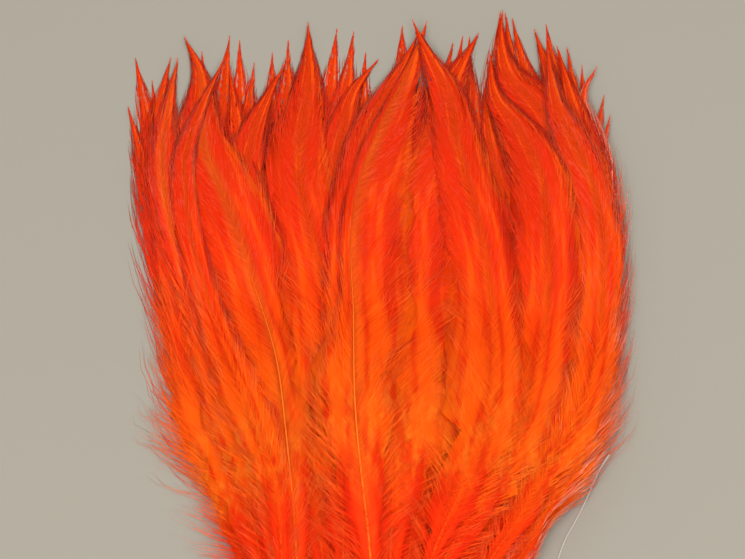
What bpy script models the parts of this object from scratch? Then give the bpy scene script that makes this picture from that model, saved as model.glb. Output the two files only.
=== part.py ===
"""A strung bunch of dyed rooster neck hackle, lying flat with its tips fanned out.

Long pointed feathers are sewn side by side by their quills with two threads, which are
knotted at both ends of the strip, and one thread runs on as a loose tail. +Y points from
the quills to the tips, +X to the right, +Z up, and the bunch rests on Z = 0.

The feathers are laid one by one on a growing pile: each bends over those below it and
keeps a small gap to them.
"""

import math
import random
from dataclasses import dataclass

import bmesh
import bpy
import numpy as np
from mathutils import Vector

MM = 0.001

# The photograph: its scale, how steeply it looks down, and the row of its lower edge, which
# cuts the bunch off
PHOTO_MIDDLE_COLUMN = 379
PHOTO_LAST_ROW = 559
PIXELS_PER_MM = 4.2
LOOK_DOWN = math.radians(68)
UNSEEN_FOOT = 32 * MM

# How high a pixel of the topmost feather is taken to lie: little at the tips, more down the photograph
GUESSED_PILE = 15 * MM
GUESSED_TIP_SHARE = 0.15
GUESSED_FULL_ROWS = 450

# Moves the plan so that the box of the bunch is centred on the origin
CENTRE_X = -0.927 * MM
CENTRE_Y = -86.6 * MM

# Feather sizes
VANE_HALF_WIDTH = 7.0 * MM
TIP_TAPER = 22 * MM
TIP_SLENDERNESS = 1.4
FLUFF_START = 11 * MM
FLUFF_FULL = 48 * MM
FLUFF_FADE = 66 * MM
FLUFF_END = 100 * MM
FLUFF_EXTRA = 2.4 * MM
QUILL_RADIUS = 0.5 * MM
QUILL_END = 12 * MM
SHAFT_HEIGHT_AT_TIP = 0.25 * MM
SHAFT_HEIGHT_AT_FLUFF = 0.4 * MM
SHAFT_FULL_SHARE = 0.77

# The jagged edge of a vane: how far its locks reach, as shares of its width, and how far forward
STANDING_LOCK = (0.96, 1.12)
RECEDING_LOCK = (0.76, 0.88)
STANDING_SWEEP = 0.30
RECEDING_SWEEP = -0.05
RAGGED_BY_TAIL = 2.5 * MM

# Where the sections of a feather stand: these distances from its butt, then this many more
NEAR_SECTIONS = (0.0, 6 * MM, 12 * MM, 17 * MM, 23 * MM)
FAR_SECTIONS = 15
FAR_CROWDING = 1.12
FAR_JITTER = 0.25

# The strip of quills and its thread
GROUPS = 8
GROUP_SIZE = 6
GROUP_PITCH = 7.1 * MM
QUILL_PITCH = 1.7 * MM
THREAD_RADIUS = 0.28 * MM
THREAD_ROWS = (5.0 * MM, 6.6 * MM)
FLOOR_CLEARANCE = 0.02 * MM
LOWER_QUILL_FLOOR = 0.9 * MM
UPPER_QUILL_FLOOR = 2.25 * MM
THREAD_CROWN = 0.25 * MM
THREAD_STEPS = (-1.0, -0.72, -0.25, 0.25, 0.72, 1.0)
KNOT_RADIUS = 1.1 * MM
KNOT_STRETCH = 1.15
KNOT_WAIST = 0.16
KNOT_WAIST_WIDTH = 0.35
KNOT_SWELL = 0.08
KNOT_BEYOND = 0.6 * MM

# The pile: how a feather bends over those below it
GAP = 0.3 * MM
CELL = 0.25 * MM
DROOP_SHARE = 0.34
RISE_SHARE = 0.26
STIFF_OVER = 6 * MM
FALL = 3.0
LIFTING_ROUNDS = 60
SAMPLES_BY_EDGE = 10
BETWEEN = np.linspace(0, 1, 7)
ACROSS = np.linspace(0, 1, 10)
SHARE_PAST_MIDDLE = 0.61
PILE_HALF_WIDTH = 90 * MM
PILE_BEFORE_BUTTS = 8 * MM
PILE_PAST_BUTTS = 190 * MM

SEED = 11


@dataclass(frozen=True)
class Hackle:
    """One feather: its place in the pile, and photograph pixels down its shaft from the tip.

    A vane's share widens or narrows it all along, and a fringe's share only in the fluff.
    """

    lay: int
    route: tuple
    half_width: float = VANE_HALF_WIDTH
    left_vane: float = 1.0
    right_vane: float = 1.0
    left_fringe: float = 1.0
    right_fringe: float = 1.0


# Left to right, as strung
HACKLES = (
    Hackle(30, ((133, 54), (143, 110), (158, 200), (174, 300), (198, 400), (232, 505)), left_fringe=1.55),
    Hackle(34, ((126, 103), (138, 150), (155, 230), (174, 320), (202, 410), (240, 510)), left_fringe=1.5),
    Hackle(8, ((150, 78), (156, 160), (166, 240), (182, 330), (208, 420), (246, 520)), left_fringe=1.3),
    Hackle(58, ((169, 53), (157, 100), (154, 170), (166, 260), (192, 360), (246, 490))),
    Hackle(83, ((176, 53), (165, 107), (160, 143), (165, 196), (186, 262), (228, 380), (262, 465))),
    Hackle(92, ((224, 52), (197, 111), (184, 152), (186, 200), (202, 270), (236, 370), (270, 460)),
           half_width=4.2 * MM, right_vane=0.75),
    Hackle(24, ((200, 48), (204, 100), (210, 170), (224, 250), (248, 350), (276, 460))),
    Hackle(85, ((182, 32), (196, 59), (201, 136), (224, 193), (250, 270), (276, 356), (286, 430)),
           half_width=8.2 * MM),
    Hackle(44, ((228, 31), (222, 90), (220, 170), (234, 260), (262, 370), (290, 480))),
    Hackle(12, ((238, 37), (238, 90), (232, 170), (242, 260), (266, 360), (296, 480))),
    Hackle(50, ((228, 67), (236, 130), (238, 200), (250, 280), (274, 380), (300, 480))),
    Hackle(38, ((253, 59), (247, 110), (242, 180), (252, 270), (280, 380), (304, 490))),
    Hackle(80, ((284, 60), (267, 93), (251, 136), (246, 175), (253, 214), (266, 290), (292, 400)),
           right_vane=0.6),
    Hackle(20, ((271, 49), (270, 110), (266, 190), (274, 280), (294, 380), (312, 480))),
    Hackle(56, ((287, 35), (286, 90), (283, 180), (290, 280), (304, 380), (320, 480))),
    Hackle(6, ((300, 60), (298, 120), (296, 200), (302, 290), (316, 390), (328, 490))),
    Hackle(86, ((307, 18), (308, 70), (302, 121), (298, 157), (308, 220), (325, 299), (336, 380)),
           half_width=7.8 * MM),
    Hackle(26, ((336, 25), (330, 80), (319, 160), (319, 250), (330, 360), (338, 480))),
    Hackle(62, ((353, 26), (346, 80), (332, 150), (328, 240), (336, 350), (344, 480))),
    Hackle(84, ((378, 53), (353, 84), (342, 121), (333, 171), (333, 250), (340, 340), (346, 430))),
    Hackle(40, ((365, 48), (361, 110), (353, 200), (351, 300), (352, 400), (352, 500))),
    Hackle(90, ((419, 30), (398, 70), (371, 118), (356, 170), (346, 240), (346, 320), (350, 420)),
           half_width=7.2 * MM, left_vane=0.8),
    Hackle(96, ((427, 21), (405, 74), (380, 125), (359, 182), (351, 240), (353, 319), (354, 398)),
           half_width=8.8 * MM, left_vane=0.35, right_vane=1.3),
    Hackle(10, ((390, 70), (384, 130), (376, 210), (370, 300), (366, 400), (362, 500))),
    Hackle(46, ((402, 21), (400, 80), (394, 160), (388, 250), (384, 350), (376, 490))),
    Hackle(88, ((479, 28), (455, 70), (431, 112), (413, 152), (401, 200), (400, 260), (396, 400)),
           half_width=8.4 * MM, right_vane=1.25, right_fringe=1.5),
    Hackle(66, ((453, 38), (442, 90), (424, 160), (414, 250), (410, 350), (400, 490))),
    Hackle(14, ((440, 70), (432, 140), (424, 220), (420, 320), (410, 410), (402, 500))),
    Hackle(54, ((463, 31), (454, 90), (442, 170), (432, 260), (424, 360), (412, 490))),
    Hackle(76, ((470, 31), (464, 90), (456, 140), (449, 190), (439, 250), (431, 330), (420, 450)),
           right_vane=1.3, right_fringe=1.4),
    Hackle(97, ((412, 21), (424, 46), (447, 89), (461, 155), (478, 214), (492, 317), (488, 408)),
           left_vane=1.1, left_fringe=1.3),
    Hackle(72, ((484, 80), (489, 125), (495, 161), (511, 195), (518, 250), (514, 330), (484, 470))),
    Hackle(28, ((501, 8), (498, 60), (500, 130), (510, 200), (516, 290), (508, 380), (478, 490))),
    Hackle(95, ((490, 50), (497, 96), (516, 121), (538, 163), (547, 230), (546, 300), (520, 420))),
    Hackle(16, ((520, 50), (524, 110), (532, 180), (536, 260), (528, 350), (490, 490))),
    Hackle(89, ((503, 8), (502, 45), (512, 78), (534, 98), (558, 139), (564, 179), (560, 250), (524, 400))),
    Hackle(52, ((506, 9), (514, 60), (536, 120), (552, 180), (556, 250), (548, 330), (496, 490))),
    Hackle(68, ((513, 14), (524, 60), (548, 120), (564, 190), (566, 270), (554, 350), (502, 500))),
    Hackle(87, ((560, 50), (576, 120), (582, 187), (573, 240), (555, 299), (534, 394), (508, 470))),
    Hackle(74, ((535, 26), (549, 68), (563, 120), (577, 171), (588, 230), (586, 300), (570, 380), (512, 500))),
    Hackle(42, ((547, 20), (556, 70), (572, 130), (584, 200), (588, 270), (578, 350), (516, 500))),
    Hackle(93, ((547, 44), (561, 114), (572, 136), (588, 170), (601, 215), (602, 290), (590, 370), (520, 510))),
    Hackle(32, ((558, 42), (568, 90), (582, 150), (592, 220), (594, 290), (584, 370), (524, 500))),
    Hackle(60, ((568, 44), (578, 100), (590, 160), (598, 230), (600, 300), (588, 380), (528, 510))),
    Hackle(18, ((583, 62), (586, 120), (594, 180), (600, 240), (600, 320), (590, 400), (532, 520))),
    Hackle(86, ((598, 64), (584, 91), (591, 125), (600, 164), (602, 230), (601, 310), (590, 390), (536, 520)),
           right_fringe=1.1),
    Hackle(36, ((605, 92), (600, 123), (600, 190), (603, 260), (598, 340), (584, 410), (540, 510)),
           right_fringe=1.18),
    Hackle(64, ((611, 112), (604, 146), (603, 210), (605, 280), (600, 350), (586, 420), (544, 510)),
           right_fringe=1.18),
)

# The loose tail, from the right-hand knot along the table beside the fluff
TAIL_PHOTO_ROUTE = ((556, 559), (563, 540), (574, 520), (585, 499), (595, 478), (608, 458))
TAIL_UNSEEN_ROUTE = ((30.8, 5.8), (33.2, 7.6), (36.4, 13.5), (39.2, 22.0))
TAIL_POINTS = 40
TAIL_SAG = 0.015 * MM
TAIL_EASING_ROUNDS = 40
TAIL_LOOKS_AROUND = (0.3 * MM, 0.6 * MM)
FLUFF_TO_TAIL = 1.3 * MM

FEATHER_COLOUR = (0.87, 0.045, 0.002, 1.0)
THREAD_COLOUR = (0.83, 0.80, 0.76, 1.0)


def clear_scene():
    """Removes every object the file opened with."""
    for old in list(bpy.data.objects):
        bpy.data.objects.remove(old, do_unlink=True)


def principled(name, colour, roughness):
    """A plain surface of one colour."""
    material = bpy.data.materials.new(name)
    material.use_nodes = True
    shader = material.node_tree.nodes["Principled BSDF"]
    shader.inputs["Base Color"].default_value = colour
    shader.inputs["Roughness"].default_value = roughness
    shader.inputs["Metallic"].default_value = 0.0
    return material


def on_table(pixel, height=0.0):
    """The place, in plan and in metres, that a pixel of the photograph shows at this height."""
    column, row = pixel
    x = (column - PHOTO_MIDDLE_COLUMN) / PIXELS_PER_MM * MM
    y = (PHOTO_LAST_ROW - row) / (PIXELS_PER_MM * math.sin(LOOK_DOWN)) * MM + UNSEEN_FOOT
    return x + CENTRE_X, y - height / math.tan(LOOK_DOWN) + CENTRE_Y


def smooth_curve(points, stations):
    """Points at the given shares of the length of a smooth curve through the given ones, and its length."""
    knots = np.asarray(points, float)
    chords = np.linalg.norm(np.diff(knots, axis=0), axis=1)
    slopes = np.diff(knots, axis=0) / chords[:, None]
    before, after = chords[:-1, None], chords[1:, None]
    inner = (slopes[:-1] * after + slopes[1:] * before) / (before + after)
    tangents = np.vstack([slopes[:1], inner, slopes[-1:]])
    fine = [knots[:1]]
    t = np.linspace(0, 1, 25)[1:, None]
    for i, chord in enumerate(chords):
        fine.append((2 * t**3 - 3 * t**2 + 1) * knots[i] + (t**3 - 2 * t**2 + t) * chord * tangents[i]
                    + (3 * t**2 - 2 * t**3) * knots[i + 1] + (t**3 - t**2) * chord * tangents[i + 1])
    fine = np.vstack(fine)
    run = np.concatenate([[0], np.cumsum(np.linalg.norm(np.diff(fine, axis=0), axis=1))])
    wanted = np.asarray(stations) * run[-1]
    return np.column_stack([np.interp(wanted, run, fine[:, k]) for k in range(fine.shape[1])]), run[-1]


def smoothstep(value):
    """0 below 0, 1 above 1, with a soft rise between."""
    value = np.clip(value, 0.0, 1.0)
    return value * value * (3 - 2 * value)


class Pile:
    """The height of everything laid so far, on a grid over the table."""

    def __init__(self, half_width, front, back):
        self.x0 = -half_width
        self.y0 = front
        self.columns = int(2 * half_width / CELL) + 1
        self.rows = int((back - front) / CELL) + 1
        self.height = np.zeros((self.columns, self.rows))

    def lay(self, corners):
        """Raises the pile to a triangle that lies on it."""
        (ax, ay, az), (bx, by, bz), (cx, cy, cz) = corners
        twice_area = (bx - ax) * (cy - ay) - (cx - ax) * (by - ay)
        if abs(twice_area) < 1e-14:
            return
        i0 = max(int((min(ax, bx, cx) - self.x0) / CELL) - 1, 0)
        i1 = min(int((max(ax, bx, cx) - self.x0) / CELL) + 2, self.columns - 1)
        j0 = max(int((min(ay, by, cy) - self.y0) / CELL) - 1, 0)
        j1 = min(int((max(ay, by, cy) - self.y0) / CELL) + 2, self.rows - 1)
        x, y = np.meshgrid(self.x0 + np.arange(i0, i1 + 1) * CELL,
                           self.y0 + np.arange(j0, j1 + 1) * CELL, indexing="ij")
        v = ((x - ax) * (cy - ay) - (cx - ax) * (y - ay)) / twice_area
        w = ((bx - ax) * (y - ay) - (x - ax) * (by - ay)) / twice_area
        u = 1 - v - w
        reach = CELL * 0.75 / math.sqrt(abs(twice_area))
        inside = (u > -reach) & (v > -reach) & (w > -reach)
        z = np.clip(u, 0, 1) * az + np.clip(v, 0, 1) * bz + np.clip(w, 0, 1) * cz
        patch = self.height[i0 : i1 + 1, j0 : j1 + 1]
        patch[inside] = np.maximum(patch, z)[inside]

    def under(self, points):
        """The highest pile next to each point."""
        i = np.clip(((points[:, 0] - self.x0) / CELL).astype(int), 0, self.columns - 2)
        j = np.clip(((points[:, 1] - self.y0) / CELL).astype(int), 0, self.rows - 2)
        h = self.height
        return np.max([h[i, j], h[i + 1, j], h[i, j + 1], h[i + 1, j + 1]], axis=0)


def energy_of(spots):
    """The matrix that gives what it costs a shaft to stretch and bend, from its heights at these distances."""
    count = len(spots)
    energy = np.zeros((count, count))
    for i in range(count - 1):
        slope = np.zeros(count)
        slope[i], slope[i + 1] = -1, 1
        energy += np.outer(slope, slope) / (spots[i + 1] - spots[i])
    for i in range(1, count - 1):
        before, after = spots[i] - spots[i - 1], spots[i + 1] - spots[i]
        bend = np.zeros(count)
        bend[i - 1], bend[i + 1] = 1 / before, 1 / after
        bend[i] = -bend[i - 1] - bend[i + 1]
        energy += STIFF_OVER**2 * np.outer(bend, bend) * 2 / (before + after)
    return energy


def rest_shaft(spots, floor, held):
    """Heights of a springy shaft that lies on the floor given at each spot, and is held at the first few."""
    energy = energy_of(spots)
    weight = FALL * np.gradient(spots)
    pinned = np.arange(len(spots)) < held
    touching = pinned.copy()
    for _ in range(4 * len(spots)):
        z = floor.copy()
        free = ~touching
        pull = weight[free] + energy[np.ix_(free, touching)] @ floor[touching]
        z[free] = -np.linalg.solve(energy[np.ix_(free, free)], pull)
        short = np.where(free, floor - z, 0.0)
        push = np.where(touching & ~pinned, energy @ z + weight, 0.0)
        if short.max() > 1e-7:
            touching[short.argmax()] = True
        elif push.min() < -1e-9:
            touching[push.argmin()] = False
        else:
            break
    return np.maximum(z, floor)


class Feather:
    """One feather of the bunch, as a loft along its shaft."""

    def __init__(self, number, hackle, slot, upper_row, fluff_limit, draw):
        self.name = f"feather_{number:02d}"
        self.hackle = hackle
        self.upper_row = upper_row
        top = GUESSED_PILE * hackle.lay / 100
        plan = [on_table(pixel, top * min(GUESSED_TIP_SHARE + pixel[1] / GUESSED_FULL_ROWS, 1))
                for pixel in hackle.route]
        butt = (slot + CENTRE_X, CENTRE_Y)
        quill_top = (slot + CENTRE_X, CENTRE_Y + QUILL_END)
        route = [butt, quill_top] + plan[::-1]
        _, self.length = smooth_curve(route, [0, 1])
        self.from_butt = self.stations(draw)
        self.from_tip = self.length - self.from_butt
        self.centre, _ = smooth_curve(route, self.from_butt / self.length)
        self.shape_outline(fluff_limit, draw)

    def stations(self, draw):
        """Distances from the butt at which the sections stand, closer together near the tip."""
        even = np.linspace(0, 1, FAR_SECTIONS + 1)[1:]
        far = 1 - (1 - even) ** FAR_CROWDING
        jitter = np.array([draw.uniform(-FAR_JITTER, FAR_JITTER) for _ in far]) / FAR_SECTIONS
        jitter[-2:] = 0
        start = NEAR_SECTIONS[-1]
        return np.concatenate([NEAR_SECTIONS, start + (far + jitter) * (self.length - start)])

    def shape_outline(self, fluff_limit, draw):
        """The two jagged edges of the vane, with every second lock standing out."""
        h = self.hackle
        web = h.half_width * (1 - np.exp(-(self.from_tip / TIP_TAPER) ** TIP_SLENDERNESS))
        in_fluff = 1 - smoothstep((self.from_butt - FLUFF_FADE) / (FLUFF_END - FLUFF_FADE))
        opening = smoothstep((self.from_butt - FLUFF_START) / (FLUFF_FULL - FLUFF_START))
        self.width = QUILL_RADIUS + (web + FLUFF_EXTRA * in_fluff - QUILL_RADIUS) * opening
        along = np.gradient(self.centre, axis=0)
        along /= np.linalg.norm(along, axis=1)[:, None]
        aside = np.column_stack([-along[:, 1], along[:, 0]])
        self.edges = []
        for sign, share, fringe in ((1, h.left_vane, h.left_fringe), (-1, h.right_vane, h.right_fringe)):
            odd = np.arange(len(self.width)) % 2 == 1
            lock = np.array([draw.uniform(*(STANDING_LOCK if stands else RECEDING_LOCK)) for stands in odd])
            sweep = np.where(odd, STANDING_SWEEP, RECEDING_SWEEP)
            widening = lock * (share + (fringe - share) * in_fluff)
            reach = self.width * (1 + (widening - 1) * opening)
            ahead = np.minimum(reach * sweep * opening, self.from_tip * 0.5)
            edge = self.centre + aside * (sign * reach)[:, None] + along * ahead[:, None]
            clear = fluff_limit(edge[:, 1]) - np.array([draw.uniform(0, RAGGED_BY_TAIL) for _ in edge])
            edge[:, 0] = np.minimum(edge[:, 0], np.maximum(clear, self.centre[:, 0] + QUILL_RADIUS))
            self.edges.append(edge)
        full = SHAFT_HEIGHT_AT_FLUFF - SHAFT_HEIGHT_AT_TIP
        vane_shaft = SHAFT_HEIGHT_AT_TIP + full * np.clip(self.from_tip / self.length / SHAFT_FULL_SHARE, 0, 1)
        self.shaft = vane_shaft + (2 * QUILL_RADIUS - vane_shaft) * (1 - opening) ** 3
        self.edge_rise = QUILL_RADIUS * (1 - opening) ** 3
        self.held = int(np.sum(self.from_butt <= QUILL_END))

    def plan_points(self):
        """Plan places of left edge, shaft and right edge, one after another for every section, and the tip."""
        left, right = self.edges
        stacked = np.stack([left[:-1], self.centre[:-1], right[:-1]], axis=1)
        return np.vstack([stacked.reshape(-1, 2), self.centre[-1]])

    def underside(self):
        """Triangles of the underside, as places in plan_points."""
        sections = len(self.centre) - 1
        faces = []
        for i in range(sections - 1):
            a, b = 3 * i, 3 * i + 3
            faces += [(a, a + 1, b), (a + 1, b + 1, b), (a + 1, a + 2, b + 1), (a + 2, b + 2, b + 1)]
        last, tip = 3 * (sections - 1), 3 * sections
        return faces + [(last, last + 1, tip), (last + 1, last + 2, tip)]

    def settle(self, pile):
        """Lets the feather down on the pile, and raises the pile to its upper side."""
        sections = len(self.centre) - 1
        quill_floor = UPPER_QUILL_FLOOR if self.upper_row else LOWER_QUILL_FLOOR
        needed = self.needed_across(pile)
        rise = RISE_SHARE * self.width
        spare = rise[:-1, None, None] * ACROSS[None, None, :]
        floor = self.at_sections((needed - spare).max(axis=(0, 3)))
        floor = np.maximum(floor, 0.0)
        floor[: self.held] = quill_floor
        middle = rest_shaft(self.from_butt, floor, self.held)
        along = middle[:-1, None] + np.diff(middle)[:, None] * BETWEEN[None, :]
        z = np.zeros(3 * sections + 1)
        z[1:-1:3], z[-1] = middle[:-1], middle[-1]
        level = middle + self.edge_rise
        for side, place in ((0, 0), (1, 2)):
            steep = (needed[side, :, :, 1:] - along[:, :, None]) / ACROSS[None, None, 1:]
            edge_floor = middle + self.at_sections(steep.max(axis=2))
            edge = np.clip(edge_floor, level - DROOP_SHARE * self.width * (self.edge_rise == 0), level + rise)
            z[place:-1:3] = np.maximum(edge[:-1], 0.0)
        self.clear_pile(z, pile)
        self.points = self.surface(self.plan_points(), z)
        for a, b, c in self.top_faces():
            pile.lay((self.points[a], self.points[b], self.points[c]))

    def needed_across(self, pile):
        """What each place of the underside must clear: by side, by stretch, along it and across it."""
        start, step = self.centre[:-1, None, None], np.diff(self.centre, axis=0)[:, None, None]
        middle = start + step * BETWEEN[None, :, None, None]
        needed = []
        for edge in self.edges:
            edge_start, edge_step = edge[:-1, None, None], np.diff(edge, axis=0)[:, None, None]
            outer = edge_start + edge_step * BETWEEN[None, :, None, None]
            places = middle + (outer - middle) * ACROSS[None, None, :, None]
            below = pile.under(places.reshape(-1, 2)).reshape(places.shape[:-1])
            needed.append(np.where(below > 0, below + GAP, -1 * MM))
        return np.array(needed)

    @staticmethod
    def at_sections(values):
        """The highest value next to each section, from those along every stretch."""
        after = values[:, BETWEEN < SHARE_PAST_MIDDLE].max(axis=1)
        before = values[:, BETWEEN > 1 - SHARE_PAST_MIDDLE].max(axis=1)
        return np.maximum(np.append(after, after[-1]), np.append(before[0], before))

    def clear_pile(self, z, pile):
        """Raises single corners where a flat stretch of the underside would still touch the pile."""
        faces = np.array(self.underside())[4 * (self.held - 1):]
        n = SAMPLES_BY_EDGE
        shares = np.array([(i / n, j / n, 1 - (i + j) / n) for i in range(n + 1) for j in range(n + 1 - i)])
        samples = np.einsum("sk,fkd->fsd", shares, self.plan_points()[faces]).reshape(-1, 2)
        below = pile.under(samples)
        needed = np.where(below > 0, below + GAP, 0.0)
        kept = z[: 3 * self.held].copy()
        self.lift(z, np.repeat(faces, len(shares), axis=0), np.tile(shares, (len(faces), 1)), needed)
        z[: 3 * self.held] = kept

    @staticmethod
    def lift(z, corners, weights, needed):
        """Raises the corners until no sample of the underside is below what it needs."""
        squares = np.sum(weights**2, axis=1)
        for _ in range(LIFTING_ROUNDS):
            short = needed - np.sum(weights * z[corners], axis=1)
            wrong = short > 1e-7
            if not wrong.any():
                return
            push = weights[wrong] * (short[wrong] / squares[wrong])[:, None]
            raised = np.zeros_like(z)
            np.maximum.at(raised, corners[wrong].reshape(-1), push.reshape(-1))
            z += raised

    def surface(self, plan, z):
        """All corners: the underside's, then one on top of the shaft for every section."""
        under = np.column_stack([plan, z])
        ridge = under[1:-1:3].copy()
        ridge[:, 2] += self.shaft[:-1]
        return np.vstack([under, ridge])

    def top_faces(self):
        """Triangles of the upper side."""
        sections = len(self.centre) - 1
        tip, first_top = 3 * sections, 3 * sections + 1
        faces = []
        for i in range(sections - 1):
            a, b, t, u = 3 * i, 3 * i + 3, first_top + i, first_top + i + 1
            faces += [(a, b, t), (t, b, u), (t, u, a + 2), (a + 2, u, b + 2)]
        last, top = 3 * (sections - 1), first_top + sections - 1
        return faces + [(last, tip, top), (top, tip, last + 2)]

    def mesh(self):
        """The closed solid as a mesh."""
        first_top = 3 * (len(self.centre) - 1) + 1
        butt = [(0, first_top, 2), (0, 2, 1)]
        mesh = bpy.data.meshes.new(self.name)
        mesh.from_pydata(self.points.tolist(), [], self.underside() + self.top_faces() + butt)
        work = bmesh.new()
        work.from_mesh(mesh)
        bmesh.ops.recalc_face_normals(work, faces=work.faces)
        work.to_mesh(mesh)
        work.free()
        return mesh


def slot_place(index):
    """How far across the strip the quill in this slot lies, and whether it is in the upper row."""
    group, place = divmod(index, GROUP_SIZE)
    in_row, upper = place % (GROUP_SIZE // 2), place >= GROUP_SIZE // 2
    across = (group - (GROUPS - 1) / 2) * GROUP_PITCH
    across += (in_row - 1) * QUILL_PITCH + (0.25 if upper else -0.25) * QUILL_PITCH
    return across, upper


def tail_plan(spots):
    """The loose thread's route in plan, at the given shares of its length."""
    unseen = [(x * MM + CENTRE_X, y * MM + CENTRE_Y) for x, y in TAIL_UNSEEN_ROUTE]
    seen = [on_table(pixel) for pixel in TAIL_PHOTO_ROUTE]
    return smooth_curve(unseen + seen, spots)[0]


def lay_feathers():
    """Every feather settled on the pile, in strung order, with the pile."""
    draw = random.Random(SEED)
    tail = tail_plan(np.linspace(0, 1, TAIL_POINTS))

    def fluff_limit(y):
        beside_tail = np.interp(y, tail[:, 1], tail[:, 0]) - FLUFF_TO_TAIL
        return np.where(y < tail[-1, 1] + FLUFF_TO_TAIL, beside_tail, 1.0)

    placed = []
    for group in range(GROUPS):
        members = range(group * GROUP_SIZE, (group + 1) * GROUP_SIZE)
        by_lay = sorted(members, key=lambda k: HACKLES[k].lay)
        lower, upper = sorted(by_lay[:GROUP_SIZE // 2]), sorted(by_lay[GROUP_SIZE // 2:])
        for slot, k in enumerate(lower + upper, start=group * GROUP_SIZE):
            across, in_upper_row = slot_place(slot)
            placed.append(Feather(k + 1, HACKLES[k], across, in_upper_row, fluff_limit, draw))
    pile = Pile(PILE_HALF_WIDTH, CENTRE_Y - PILE_BEFORE_BUTTS, CENTRE_Y + PILE_PAST_BUTTS)
    for feather in sorted(placed, key=lambda f: (f.hackle.lay, f.name)):
        feather.settle(pile)
    return sorted(placed, key=lambda f: f.name), pile


def tube(name, points, radius, collection, material):
    """A thread as a curve of short straight steps, with filled ends."""
    curve = bpy.data.curves.new(name, "CURVE")
    curve.dimensions = "3D"
    curve.bevel_depth = radius
    curve.bevel_resolution = 2
    curve.use_fill_caps = True
    spline = curve.splines.new("POLY")
    spline.points.add(len(points) - 1)
    for point, place in zip(spline.points, points):
        point.co = (*place, 1.0)
    curve.materials.append(material)
    thread = bpy.data.objects.new(name, curve)
    collection.objects.link(thread)
    return thread


def binding_route(row, starts_over):
    """A thread that goes over and under the groups of quills in turn."""
    y = CENTRE_Y + row
    half_group = 1.25 * QUILL_PITCH + QUILL_RADIUS
    low = THREAD_RADIUS + FLOOR_CLEARANCE
    high = UPPER_QUILL_FLOOR + 2 * QUILL_RADIUS + GAP + THREAD_RADIUS
    points = []
    for group in range(GROUPS):
        centre = (group - (GROUPS - 1) / 2) * GROUP_PITCH + CENTRE_X
        over = (group % 2 == 0) == starts_over
        for share in THREAD_STEPS:
            crown = THREAD_CROWN * (1 - share**2)
            points.append((centre + share * half_group, y, high + crown if over else low))
    return points


def knot(name, place, collection, material):
    """A small round knot with the waist that a pulled loop leaves in it."""
    mesh = bpy.data.meshes.new(name)
    work = bmesh.new()
    bmesh.ops.create_uvsphere(work, u_segments=9, v_segments=6, radius=KNOT_RADIUS)
    for vertex in work.verts:
        around = math.atan2(vertex.co.z, vertex.co.y)
        waist = 1 - KNOT_WAIST * math.exp(-((vertex.co.x / (KNOT_WAIST_WIDTH * KNOT_RADIUS)) ** 2))
        swell = 1 + KNOT_SWELL * math.sin(2 * around)
        vertex.co = Vector((vertex.co.x * KNOT_STRETCH, vertex.co.y * waist * swell, vertex.co.z * waist))
    work.to_mesh(mesh)
    work.free()
    mesh.materials.append(material)
    piece = bpy.data.objects.new(name, mesh)
    piece.location = place
    collection.objects.link(piece)
    return piece


def tail_route(pile):
    """The loose thread's points: on the table beside the fluff, and over its edge where it meets it."""
    plan = tail_plan(np.linspace(0, 1, TAIL_POINTS))
    around = [(0.0, 0.0)]
    for turn in range(12):
        angle = turn * math.tau / 12
        around += [(reach * math.cos(angle), reach * math.sin(angle)) for reach in TAIL_LOOKS_AROUND]
    below = np.max([pile.under(plan + offset) for offset in np.array(around)], axis=0)
    low = THREAD_RADIUS + FLOOR_CLEARANCE
    needed = np.where(below > 0, below + GAP + THREAD_RADIUS, low)
    z = needed.copy()
    for _ in range(TAIL_EASING_ROUNDS):
        eased = 0.5 * z[1:-1] + 0.25 * (z[:-2] + z[2:]) - TAIL_SAG
        z[1:-1] = np.maximum(eased, needed[1:-1])
    return [(x, y, height) for (x, y), height in zip(plan, z)]


def main():
    """Builds the whole bunch."""
    clear_scene()
    bunch = bpy.data.collections.new("strung_hackle")
    bpy.context.scene.collection.children.link(bunch)
    thread_finish = principled("thread", THREAD_COLOUR, 0.8)
    feathers, pile = lay_feathers()
    for feather in feathers:
        mesh = feather.mesh()
        mesh.materials.append(principled(feather.name, FEATHER_COLOUR, 0.55))
        bunch.objects.link(bpy.data.objects.new(feather.name, mesh))
    for name, row, starts_over in (("string_upper", THREAD_ROWS[1], True),
                                   ("string_lower", THREAD_ROWS[0], False)):
        tube(name, binding_route(row, starts_over), THREAD_RADIUS, bunch, thread_finish)
    knot_x = (GROUPS / 2) * GROUP_PITCH + KNOT_BEYOND
    middle_row = CENTRE_Y + sum(THREAD_ROWS) / 2
    for name, x in (("string_knot_left", -knot_x), ("string_knot_right", knot_x)):
        knot(name, (x + CENTRE_X, middle_row, KNOT_RADIUS + FLOOR_CLEARANCE), bunch, thread_finish)
    tube("string_tail", tail_route(pile), THREAD_RADIUS, bunch, thread_finish)
    print(f"pile {pile.height.max() / MM:.1f} mm high")


main()
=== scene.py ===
"""Dressed model of a strung bunch of dyed rooster neck hackle, lying flat.

Every feather is a shaft with its barbs, grown by Geometry Nodes on a chart of the vane that
follows the solid it replaces. Two threads sew the quills side by side, with a knot at both
ends and one loose tail.
"""

import logging
import math
from dataclasses import dataclass, field
from enum import Enum
from typing import Any

import bpy
import numpy as np
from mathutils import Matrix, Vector
from mathutils.bvhtree import BVHTree


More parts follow.
